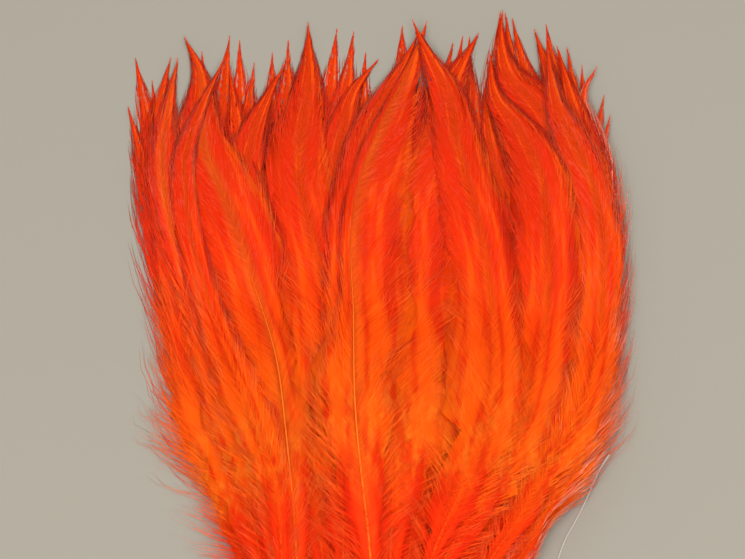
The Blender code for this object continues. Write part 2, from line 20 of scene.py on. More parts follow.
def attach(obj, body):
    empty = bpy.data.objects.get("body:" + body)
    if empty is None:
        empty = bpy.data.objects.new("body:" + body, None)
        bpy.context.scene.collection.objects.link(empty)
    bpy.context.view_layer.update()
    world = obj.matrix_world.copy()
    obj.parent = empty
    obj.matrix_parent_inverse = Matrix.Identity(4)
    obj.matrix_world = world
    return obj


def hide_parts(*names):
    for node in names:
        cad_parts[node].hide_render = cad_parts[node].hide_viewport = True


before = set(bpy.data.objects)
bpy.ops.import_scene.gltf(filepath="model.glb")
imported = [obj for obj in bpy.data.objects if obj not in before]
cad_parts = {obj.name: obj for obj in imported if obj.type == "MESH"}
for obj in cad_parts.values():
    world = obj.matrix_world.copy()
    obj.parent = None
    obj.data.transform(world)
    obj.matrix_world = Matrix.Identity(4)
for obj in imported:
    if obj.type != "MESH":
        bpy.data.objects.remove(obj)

MM = 0.001
UP = np.array([0.0, 0.0, 1.0])

# Heights that no part of the bunch reaches, from which it is looked for
ABOVE_ALL = 0.1
BELOW_ALL = -0.01

# Points of a smooth curve from one given point to the next, both counted
CURVE_POINTS = 25

logging.basicConfig(level=logging.INFO, format="%(message)s")
log = logging.getLogger("hackle")


class Kind(Enum):
    """What a point of a feather belongs to, as its "down" attribute says."""

    BARB = 0.0
    DOWN = 1.0
    SHAFT = 2.0


# Above this, a point's kind is the shaft
SHAFT_FROM = 1.5


class Show(Enum):
    """How much of a feather can be seen, with the numbers of webbed and of downy barbs that it grows."""

    TOP = (420, 440)
    EDGE = (280, 560)
    BETWEEN = (240, 200)
    BOTTOM = (200, 240)


@dataclass(frozen=True)
class Band:
    """The two values of some other number from which a share starts to grow and at which it is full."""

    start: float
    full: float
    most: float = 1.0


@dataclass(frozen=True)
class Noise:
    """How fine and how rough a pattern of noise is."""

    scale: float
    detail: float
    roughness: float = 0.5


@dataclass(frozen=True)
class PhotoView:
    """The photograph's scale and angle, and where its pixels lie on the table."""

    columns: int = 745
    rows: int = 559
    middle_column: float = 379.0
    pixels_per_mm: float = 4.2
    look_down: float = math.radians(68)
    unseen_foot: float = 32 * MM
    guessed_pile: float = 15 * MM
    guessed_tip_share: float = 0.15
    guessed_full_rows: float = 450.0
    centre_x: float = -0.927 * MM
    centre_y: float = -86.6 * MM

    def on_table(self, pixel: tuple, height: float = 0.0) -> tuple:
        """The place in plan, in metres, that a pixel shows at this height.

        Args:
            pixel: column and row in the photograph.
            height: height above the table in metres.

        Returns:
            x and y in metres.
        """
        column, row = pixel
        x = (column - self.middle_column) / self.pixels_per_mm * MM
        run = (self.rows - row) / (self.pixels_per_mm * math.sin(self.look_down)) * MM
        y = run + self.unseen_foot - height / math.tan(self.look_down)
        return x + self.centre_x, y + self.centre_y

    def guessed_height(self, lay: int, row: float) -> float:
        """The height at which a feather this far up the pile is taken to lie at a photograph row."""
        share = min(self.guessed_tip_share + row / self.guessed_full_rows, 1)
        return self.guessed_pile * lay / 100 * share


@dataclass(frozen=True)
class Hackle:
    """One feather: its place in the pile, and photograph pixels down its shaft from the tip.

    Its place in the pile, lay, goes from 0 at the bottom to 100 on top.
    """

    lay: int
    route: tuple
    half_width: float = 7.0 * MM
    left_vane: float = 1.0
    right_vane: float = 1.0
    left_fringe: float = 1.0
    right_fringe: float = 1.0
    left_fill: float = 1.0
    right_fill: float = 1.0
    fluff_fill: float = 1.0
    ragged: float = 0.4
    bare_shaft: bool = False
    # How much painted glint its barbs carry, with painted sheen on their ends
    frosted: float = 0.06
    warm: float = 0.0


# Left to right, as strung
HACKLES = (
    Hackle(30, ((133, 54), (143, 110), (158, 200), (174, 300), (198, 400), (232, 505)), left_fringe=1.55,
           left_fill=0.35, fluff_fill=0.50, ragged=1.0),
    Hackle(34, ((126, 103), (138, 150), (155, 230), (174, 320), (202, 410), (240, 510)), left_fringe=1.5,
           left_fill=0.30, fluff_fill=0.50, ragged=1.0),
    Hackle(8, ((150, 78), (156, 160), (166, 240), (182, 330), (208, 420), (246, 520)), left_fringe=1.3,
           left_fill=0.45, fluff_fill=0.55, ragged=0.8),
    Hackle(58, ((169, 53), (157, 100), (154, 170), (166, 260), (192, 360), (246, 490)), left_fill=0.35),
    Hackle(83, ((176, 53), (165, 107), (160, 143), (165, 196), (186, 262), (228, 380), (262, 465)),
           left_fill=0.45, bare_shaft=True, frosted=0.12),
    Hackle(92, ((224, 52), (197, 111), (184, 152), (186, 200), (202, 270), (236, 370), (270, 460)),
           half_width=4.2 * MM, right_vane=0.75, frosted=0.12),
    Hackle(24, ((200, 48), (204, 100), (210, 170), (224, 250), (248, 350), (276, 460))),
    Hackle(85, ((182, 32), (196, 59), (201, 136), (224, 193), (250, 270), (276, 356), (286, 430)),
           half_width=8.2 * MM, left_fill=1.4, right_fill=1.3, bare_shaft=True, frosted=0.08),
    Hackle(44, ((228, 31), (222, 90), (220, 170), (234, 260), (262, 370), (290, 480))),
    Hackle(12, ((238, 37), (238, 90), (232, 170), (242, 260), (266, 360), (296, 480))),
    Hackle(50, ((228, 67), (236, 130), (238, 200), (250, 280), (274, 380), (300, 480))),
    Hackle(38, ((253, 59), (247, 110), (242, 180), (252, 270), (280, 380), (304, 490))),
    Hackle(80, ((284, 60), (267, 93), (251, 136), (246, 175), (253, 214), (266, 290), (292, 400)),
           right_vane=0.6, left_fill=1.25, right_fill=1.45),
    Hackle(20, ((271, 49), (270, 110), (266, 190), (274, 280), (294, 380), (312, 480))),
    Hackle(56, ((287, 35), (286, 90), (283, 180), (290, 280), (304, 380), (320, 480))),
    Hackle(6, ((300, 60), (298, 120), (296, 200), (302, 290), (316, 390), (328, 490))),
    Hackle(86, ((307, 18), (308, 70), (302, 121), (298, 157), (308, 220), (325, 299), (336, 380)),
           half_width=7.8 * MM, left_fill=1.45, right_fill=1.45),
    Hackle(26, ((336, 25), (330, 80), (319, 160), (319, 250), (330, 360), (338, 480))),
    Hackle(62, ((353, 26), (346, 80), (332, 150), (328, 240), (336, 350), (344, 480))),
    Hackle(84, ((378, 53), (353, 84), (342, 121), (333, 171), (333, 250), (340, 340), (346, 430)),
           left_fill=1.45, right_fill=1.2),
    Hackle(40, ((365, 48), (361, 110), (353, 200), (351, 300), (352, 400), (352, 500))),
    Hackle(90, ((419, 30), (398, 70), (371, 118), (356, 170), (346, 240), (346, 320), (350, 420)),
           half_width=7.2 * MM, left_vane=0.8, frosted=0.10),
    Hackle(96, ((427, 21), (405, 74), (380, 125), (359, 182), (351, 240), (353, 319), (354, 398)),
           half_width=8.8 * MM, left_vane=0.35, right_vane=1.3, right_fill=1.4, bare_shaft=True,
           frosted=0.08),
    Hackle(10, ((390, 70), (384, 130), (376, 210), (370, 300), (366, 400), (362, 500)), right_fill=1.5),
    Hackle(46, ((402, 21), (400, 80), (394, 160), (388, 250), (384, 350), (376, 490)),
           right_vane=1.35, right_fill=1.5),
    Hackle(88, ((479, 28), (455, 70), (431, 112), (413, 152), (401, 200), (400, 260), (396, 400)),
           half_width=8.4 * MM, right_vane=1.25, right_fringe=1.5, left_fill=1.4, right_fill=1.45,
           ragged=0.7, frosted=0.08),
    Hackle(66, ((453, 38), (442, 90), (424, 160), (414, 250), (410, 350), (400, 490)), left_fill=1.5),
    Hackle(14, ((440, 70), (432, 140), (424, 220), (420, 320), (410, 410), (402, 500)), left_fill=1.5),
    Hackle(54, ((463, 31), (454, 90), (442, 170), (432, 260), (424, 360), (412, 490))),
    Hackle(76, ((470, 31), (464, 90), (456, 140), (449, 190), (439, 250), (431, 330), (420, 450)),
           right_vane=1.3, right_fringe=1.4, left_fill=1.2, right_fill=1.4),
    Hackle(97, ((412, 21), (424, 46), (447, 89), (461, 155), (478, 214), (492, 317), (488, 408)),
           left_vane=1.1, left_fringe=1.3, left_fill=1.48, right_fill=1.2),
    Hackle(72, ((484, 80), (489, 125), (495, 161), (511, 195), (518, 250), (514, 330), (484, 470)),
           left_fill=1.4, right_fill=1.4),
    Hackle(28, ((501, 8), (498, 60), (500, 130), (510, 200), (516, 290), (508, 380), (478, 490))),
    Hackle(95, ((490, 50), (497, 96), (516, 121), (538, 163), (547, 230), (546, 300), (520, 420)),
           left_fill=1.45, right_fill=1.3),
    Hackle(16, ((520, 50), (524, 110), (532, 180), (536, 260), (528, 350), (490, 490))),
    Hackle(89, ((503, 8), (502, 45), (512, 78), (534, 98), (558, 139), (564, 179), (560, 250), (524, 400)),
           left_fill=1.3, right_fill=1.3),
    Hackle(52, ((506, 9), (514, 60), (536, 120), (552, 180), (556, 250), (548, 330), (496, 490))),
    Hackle(68, ((513, 14), (524, 60), (548, 120), (564, 190), (566, 270), (554, 350), (502, 500))),
    Hackle(87, ((560, 50), (576, 120), (582, 187), (573, 240), (555, 299), (534, 394), (508, 470)),
           left_fill=1.4, right_fill=1.35),
    Hackle(74, ((535, 26), (549, 68), (563, 120), (577, 171), (588, 230), (586, 300), (570, 380),
                (512, 500))),
    Hackle(42, ((547, 20), (556, 70), (572, 130), (584, 200), (588, 270), (578, 350), (516, 500))),
    Hackle(93, ((547, 44), (561, 114), (572, 136), (588, 170), (601, 215), (602, 290), (590, 370),
                (520, 510)), right_fill=0.65, fluff_fill=0.7, frosted=0.12, warm=0.4),
    Hackle(32, ((558, 42), (568, 90), (582, 150), (592, 220), (594, 290), (584, 370), (524, 500)),
           right_fill=0.85, fluff_fill=0.75),
    Hackle(60, ((568, 44), (578, 100), (590, 160), (598, 230), (600, 300), (588, 380), (528, 510)),
           right_fill=0.65, fluff_fill=0.65),
    Hackle(18, ((583, 62), (586, 120), (594, 180), (600, 240), (600, 320), (590, 400), (532, 520)),
           right_fill=0.60, fluff_fill=0.65),
    Hackle(86, ((598, 64), (584, 91), (591, 125), (600, 164), (602, 230), (601, 310), (590, 390),
                (536, 520)),
           right_fringe=1.1, right_fill=0.55, fluff_fill=0.55, ragged=0.6, frosted=1.0, warm=0.8),
    Hackle(36, ((605, 92), (600, 123), (600, 190), (603, 260), (598, 340), (584, 410), (540, 510)),
           right_fringe=1.18, right_fill=0.55, fluff_fill=0.55, ragged=0.7, frosted=0.9, warm=0.9),
    Hackle(64, ((611, 112), (604, 146), (603, 210), (605, 280), (600, 350), (586, 420), (544, 510)),
           right_fringe=1.18, right_fill=0.50, fluff_fill=0.55, ragged=0.8, frosted=0.9, warm=1.0),
)


def smooth_curve(points: Any, stations: Any) -> tuple:
    """Places along a smooth curve through the given points.

    Args:
        points: the points, in plan or in space.
        stations: shares of the curve's length, from 0 to 1.

    Returns:
        An array with one place for each station, and the curve's length.
    """
    knots = np.asarray(points, float)
    chords = np.linalg.norm(np.diff(knots, axis=0), axis=1)
    slopes = np.diff(knots, axis=0) / chords[:, None]
    before, after = chords[:-1, None], chords[1:, None]
    inner = (slopes[:-1] * after + slopes[1:] * before) / (before + after)
    tangents = np.vstack([slopes[:1], inner, slopes[-1:]])
    fine = [knots[:1]]
    t = np.linspace(0, 1, CURVE_POINTS)[1:, None]
    for i, chord in enumerate(chords):
        fine.append((2 * t**3 - 3 * t**2 + 1) * knots[i] + (t**3 - 2 * t**2 + t) * chord * tangents[i]
                    + (3 * t**2 - 2 * t**3) * knots[i + 1] + (t**3 - t**2) * chord * tangents[i + 1])
    fine = np.vstack(fine)
    run = np.concatenate([[0], np.cumsum(np.linalg.norm(np.diff(fine, axis=0), axis=1))])
    wanted = np.asarray(stations) * run[-1]
    return np.column_stack([np.interp(wanted, run, fine[:, k]) for k in range(fine.shape[1])]), run[-1]


def smoothstep(value: Any) -> Any:
    """0 below 0, 1 above 1, with a soft rise between."""
    value = np.clip(value, 0.0, 1.0)
    return value * value * (3 - 2 * value)


class Surface:
    """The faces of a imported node, to look for heights on."""

    def __init__(self, node: str) -> None:
        """Reads the node's faces.

        Args:
            node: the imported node's name.
        """
        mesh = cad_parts[node].data
        corners_of = [p.vertices[:] for p in mesh.polygons]
        self.faces = BVHTree.FromPolygons([v.co[:] for v in mesh.vertices], corners_of)

    def top(self, x: float, y: float) -> float:
        """The height of the upper side at a place, or not a number beside it."""
        hit = self.faces.ray_cast(Vector((x, y, ABOVE_ALL)), Vector((0, 0, -1)))[0]
        return np.nan if hit is None else hit.z

    def low(self, x: float, y: float) -> float:
        """The height of the under side at a place, or not a number beside it."""
        hit = self.faces.ray_cast(Vector((x, y, BELOW_ALL)), Vector((0, 0, 1)))[0]
        return np.nan if hit is None else hit.z


def filled(values: np.ndarray) -> np.ndarray:
    """A row of numbers with its missing ones drawn straight between their neighbours."""
    good = ~np.isnan(values)
    return np.interp(np.arange(len(values)), np.where(good)[0], values[good])


def linked(name: str, data: Any) -> bpy.types.Object:
    """A new object in the scene with this data.

    Args:
        name: the object's name.
        data: its mesh, curve, camera or light.

    Returns:
        The object.
    """
    made = bpy.data.objects.new(name, data)
    bpy.context.scene.collection.objects.link(made)
    return made


def toward(colour: tuple, other: tuple, share: float) -> tuple:
    """A colour, gone over into another by this share."""
    return tuple(a + (b - a) * share for a, b in zip(colour, other))


def grid_quads(index: np.ndarray) -> np.ndarray:
    """The faces of a grid of numbered points."""
    return np.stack([index[:-1, :-1], index[:-1, 1:], index[1:, 1:], index[1:, :-1]], axis=2).reshape(-1, 4)


class TreeMaker:
    """Adds nodes to a node tree and links them, whether geometry or shader."""

    def __init__(self, tree: bpy.types.NodeTree) -> None:
        """Keeps the tree."""
        self.tree = tree

    @staticmethod
    def pick(sockets: Any, name: str) -> Any:
        """The enabled socket of this name."""
        return next(s for s in sockets if s.enabled and s.name == name)

    def feed(self, socket: Any, value: Any) -> None:
        """Links a socket to another, or sets its value.

        Args:
            socket: the input.
            value: an output to link it to, or the value.
        """
        if isinstance(value, bpy.types.NodeSocket):
            self.tree.links.new(value, socket)
        else:
            socket.default_value = value

    def node(self, kind: str, inputs: dict | None = None, **settings: Any) -> Any:
        """Adds one node.

        Args:
            kind: the node's type name.
            inputs: values or sockets for its inputs, by name or place.
            settings: properties of the node.

        Returns:
            The node.
        """
        made = self.tree.nodes.new(kind)
        for name, value in settings.items():
            setattr(made, name, value)
        for name, value in (inputs or {}).items():
            self.feed(made.inputs[name] if isinstance(name, int) else self.pick(made.inputs, name), value)
        return made

    def out(self, kind: str, inputs: dict | None = None, output: str | None = None, **settings: Any) -> Any:
        """Adds one node and gives its first enabled output, or the one named."""
        made = self.node(kind, inputs, **settings)
        return self.pick(made.outputs, output) if output else next(s for s in made.outputs if s.enabled)

    def math(self, operation: str, a: Any, b: Any = None, c: Any = None) -> Any:
        """One step of arithmetic on single numbers."""
        values = {i: v for i, v in enumerate((a, b, c)) if v is not None}
        return self.out("ShaderNodeMath", values, operation=operation)

    def plus(self, *terms: Any) -> Any:
        """The sum of the terms, from left to right.

        Args:
            terms: numbers or sockets.

        Returns:
            The sum's socket.
        """
        total = terms[0]
        for term in terms[1:]:
            total = self.math("ADD", total, term)
        return total

    def times(self, *factors: Any) -> Any:
        """The product of the factors, from left to right.

        Args:
            factors: numbers or sockets.

        Returns:
            The product's socket.
        """
        product = factors[0]
        for factor in factors[1:]:
            product = self.math("MULTIPLY", product, factor)
        return product

    def minus(self, a: Any, b: Any) -> Any:
        """The first number less the second."""
        return self.math("SUBTRACT", a, b)

    def over(self, a: Any, b: Any) -> Any:
        """The first number divided by the second."""
        return self.math("DIVIDE", a, b)

    def rest(self, share: Any) -> Any:
        """What a share leaves of 1."""
        return self.math("SUBTRACT", 1.0, share)

    def scaled(self, value: Any, factor: Any, offset: Any) -> Any:
        """A number times a factor, plus an offset."""
        return self.math("MULTIPLY_ADD", value, factor, offset)

    def between(self, low: Any, value: Any, high: Any) -> Any:
        """A number kept between two others."""
        return self.math("MINIMUM", self.math("MAXIMUM", value, low), high)

    def mix(self, share: Any, low: Any, high: Any) -> Any:
        """low where share is 0, high where it is 1."""
        return self.plus(low, self.times(share, self.minus(high, low)))

    def vector(self, operation: str, a: Any, b: Any = None, scale: Any = None) -> Any:
        """One step of arithmetic on vectors.

        Args:
            operation: the operation, as Blender names it.
            a: the first vector.
            b: the second one, where the operation has two.
            scale: the factor, where it has one.

        Returns:
            The result's socket.
        """
        values = {i: v for i, v in enumerate((a, b)) if v is not None}
        if scale is not None:
            values["Scale"] = scale
        return self.out("ShaderNodeVectorMath", values, "Vector", operation=operation)

    def join(self, x: Any, y: Any, z: Any) -> Any:
        """A vector of three numbers."""
        return self.out("ShaderNodeCombineXYZ", {0: x, 1: y, 2: z})

    def split(self, vector: Any) -> Any:
        """The three numbers of a vector."""
        return self.node("ShaderNodeSeparateXYZ", {0: vector}).outputs

    def ramp(self, value: Any, band: Band, shape: str = "SMOOTHSTEP") -> Any:
        """A share that grows along a value as the band says."""
        inputs = {"Value": value, "From Min": band.start, "From Max": band.full, "To Max": band.most}
        return self.out("ShaderNodeMapRange", inputs, "Result", interpolation_type=shape)

    def blend(self, share: Any, low: Any, high: Any) -> Any:
        """One colour going over into another.

        Args:
            share: how much of the second colour there is.
            low: the colour where it is 0.
            high: the colour where it is 1.

        Returns:
            The colour's socket.
        """
        made = self.node("ShaderNodeMix", data_type="RGBA")
        for socket, value in ((0, share), (6, low), (7, high)):
            self.feed(made.inputs[socket], value)
        return made.outputs[2]

    def noise(self, where: Any, look: Noise) -> Any:
        """A pattern of noise over these places."""
        inputs = {"Vector": where, "Scale": look.scale, "Detail": look.detail, "Roughness": look.roughness}
        return self.out("ShaderNodeTexNoise", inputs, "Fac")


class GroupTree(TreeMaker):
    """A group of nodes with named inputs."""

    KIND = "ShaderNodeTree"

    def __init__(self, name: str, inputs: dict, outputs: dict) -> None:
        """Starts a group.

        Args:
            name: the group's name.
            inputs: input names with their socket types, as Blender names them.
            outputs: the same for the outputs.
        """
        super().__init__(bpy.data.node_groups.new(name, self.KIND))
        for side, sockets in (("INPUT", inputs), ("OUTPUT", outputs)):
            for label, kind in sockets.items():
                self.tree.interface.new_socket(name=label, in_out=side, socket_type=f"NodeSocket{kind}")
        self.given = self.tree.nodes.new("NodeGroupInput").outputs
        self.result = self.tree.nodes.new("NodeGroupOutput").inputs


class GeometryTree(GroupTree):
    """A Geometry Nodes tree with named inputs."""

    KIND = "GeometryNodeTree"

    def named(self, name: str, kind: str = "FLOAT") -> Any:
        """A named attribute, read where it is used."""
        return self.out("GeometryNodeInputNamedAttribute", {"Name": name}, "Attribute", data_type=kind)

    def store(self, geometry: Any, name: str, value: Any, kind: str = "FLOAT") -> Any:
        """The geometry with one more attribute on its points."""
        inputs = {"Geometry": geometry, "Name": name, "Value": value}
        return self.out("GeometryNodeStoreNamedAttribute", inputs, data_type=kind, domain="POINT")

    def smooth(self, geometry: Any, material: Any) -> Any:
        """The geometry made real, shaded smooth and with its material, as every tree ends.

        Args:
            geometry: the geometry.
            material: its finish.

        Returns:
            The finished geometry.
        """
        whole = self.out("GeometryNodeRealizeInstances", {"Geometry": geometry})
        whole = self.out("GeometryNodeSetShadeSmooth", {"Geometry": whole, "Shade Smooth": True})
        return self.out("GeometryNodeSetMaterial", {"Geometry": whole, "Material": material})

    def random(self, low: Any, high: Any, number: Any, seed: Any) -> Any:
        """A random number for each whole number given."""
        return self.out("FunctionNodeRandomValue", {"Min": low, "Max": high, "ID": number, "Seed": seed},
                        "Value", data_type="FLOAT")

    def call(self, group: bpy.types.NodeTree, inputs: dict) -> Any:
        """Another tree used as one node of this one.

        Args:
            group: the other tree.
            inputs: values or sockets for its inputs, by name.

        Returns:
            The node's outputs.
        """
        made = self.tree.nodes.new("GeometryNodeGroup")
        made.node_tree = group
        for name, value in inputs.items():
            self.feed(made.inputs[name], value)
        return made.outputs

    def set_on(self, modifier: bpy.types.Modifier, values: dict) -> None:
        """Sets a modifier's inputs by their identifiers.

        Args:
            modifier: the modifier that runs this tree.
            values: values of its inputs, by name.
        """
        modifier.node_group = self.tree
        items = self.tree.interface.items_tree
        known = {item.name: item.identifier for item in items if item.in_out == "INPUT"}
        for name, value in values.items():
            modifier[known[name]] = value


def made_mesh(source: bpy.types.Object, name: str) -> bpy.types.Object:
    """Turns an object with a Geometry Nodes modifier into a plain mesh object.

    Args:
        source: the object that carries the modifier. It is removed.
        name: the name of the result.

    Returns:
        The new object, at the origin.
    """
    evaluated = source.evaluated_get(bpy.context.evaluated_depsgraph_get())
    mesh = bpy.data.meshes.new_from_object(evaluated)
    mesh.name = name
    bpy.data.objects.remove(source, do_unlink=True)
    return linked(name, mesh)


@dataclass(frozen=True)
class ChartGrid:
    """How finely the chart of a vane is drawn, how far past the vane it goes, and where its map lies."""

    rows: int = 72
    foot_rows: int = 10
    foot_share: float = 0.16
    half_columns: int = 8
    column_power: float = 1.15
    beyond: float = 1.5
    left_edge: float = 0.01
    right_edge: float = 0.93
    map_margin: float = 0.005
    shaft_strip: float = 0.965
    strip_half: float = 0.02


GRID = ChartGrid()


@dataclass
class StrungLayout:
    """Sizes of the sewn strip, and where each quill lies in it."""

    view: PhotoView
    groups: int = 8
    group_size: int = 6
    group_pitch: float = 7.1 * MM
    quill_pitch: float = 1.7 * MM
    row_shift: float = 0.25
    quill_radius: float = 0.5 * MM
    quill_end: float = 12 * MM
    tail_seen: tuple = ((556, 559), (563, 540), (574, 520), (585, 499), (595, 478), (608, 458))
    tail_unseen: tuple = ((30.8, 5.8), (33.2, 7.6), (36.4, 13.5), (39.2, 22.0))
    tail_points: int = 40
    fluff_to_tail: float = -1.2 * MM
    fluff_to_tail_low: float = 5.2 * MM
    fluff_beside_row: float = 494.0
    fluff_back_row: float = 530.0
    fluff_give: float = 3.0 * MM
    fluff_least: float = 0.5 * MM
    no_limit: float = 1.0

    def group_centre(self, group: int) -> float:
        """How far across the strip the middle of a group lies."""
        return (group - (self.groups - 1) / 2) * self.group_pitch

    def half_group(self) -> float:
        """Half the width of one group of quills."""
        return ((self.group_size // 2 - 1) / 2 + self.row_shift) * self.quill_pitch + self.quill_radius

    def slot(self, index: int) -> float:
        """How far across the strip a quill lies.

        Args:
            index: the quill's place along the strip, from 0. The lower row of a group comes first.

        Returns:
            The distance in metres.
        """
        group, place = divmod(index, self.group_size)
        in_row = self.group_size // 2
        shift = self.row_shift if place >= in_row else -self.row_shift
        return self.group_centre(group) + (place % in_row - 1 + shift) * self.quill_pitch

    def slots(self) -> dict:
        """How far across the strip each hackle's quill lies, by its number from 0.

        Returns:
            The distances in metres.
        """
        found = {}
        in_row = self.group_size // 2
        for first in range(0, self.groups * self.group_size, self.group_size):
            by_lay = sorted(range(first, first + self.group_size), key=lambda k: HACKLES[k].lay)
            order = sorted(by_lay[:in_row]) + sorted(by_lay[in_row:])
            for index, k in enumerate(order, start=first):
                found[k] = self.slot(index)
        return found

    def tail_plan(self) -> np.ndarray:
        """The loose thread's route in plan.

        Returns:
            Its places.
        """
        unseen = [(x * MM + self.view.centre_x, y * MM + self.view.centre_y) for x, y in self.tail_unseen]
        seen = [self.view.on_table(pixel) for pixel in self.tail_seen]
        return smooth_curve(unseen + seen, np.linspace(0, 1, self.tail_points))[0]

    def fluff_limit(self, y: np.ndarray) -> np.ndarray:
        """How far right the fluff may reach beside the loose thread.

        Args:
            y: how far up the table each place lies.

        Returns:
            The furthest place across, with no limit above the thread.
        """
        tail = self.tail_plan()
        rows = (self.fluff_beside_row, self.fluff_back_row)
        high, low = (self.view.on_table((0, row))[1] for row in rows)
        share = smoothstep((high - y) / (high - low))
        clear = self.fluff_to_tail + (self.fluff_to_tail_low - self.fluff_to_tail) * share
        beside = np.interp(y, tail[:, 1], tail[:, 0]) - clear
        return np.where(y < tail[-1, 1], beside, self.no_limit)

    def kept_from_tail(self, plan: np.ndarray, centre_x: np.ndarray) -> np.ndarray:
        """Places across, pressed together where they would reach over the loose thread.

        Args:
            plan: places in plan.
            centre_x: how far across the shaft lies beside each.

        Returns:
            How far across each place lies then.
        """
        limit = np.maximum(self.fluff_limit(plan[:, :, 1]), centre_x + self.fluff_least)
        give = np.minimum(self.fluff_give, limit - centre_x)
        over = np.maximum(plan[:, :, 0] - (limit - give), 0)
        return np.where(over > 0, limit - give * np.exp(-over / give), plan[:, :, 0])


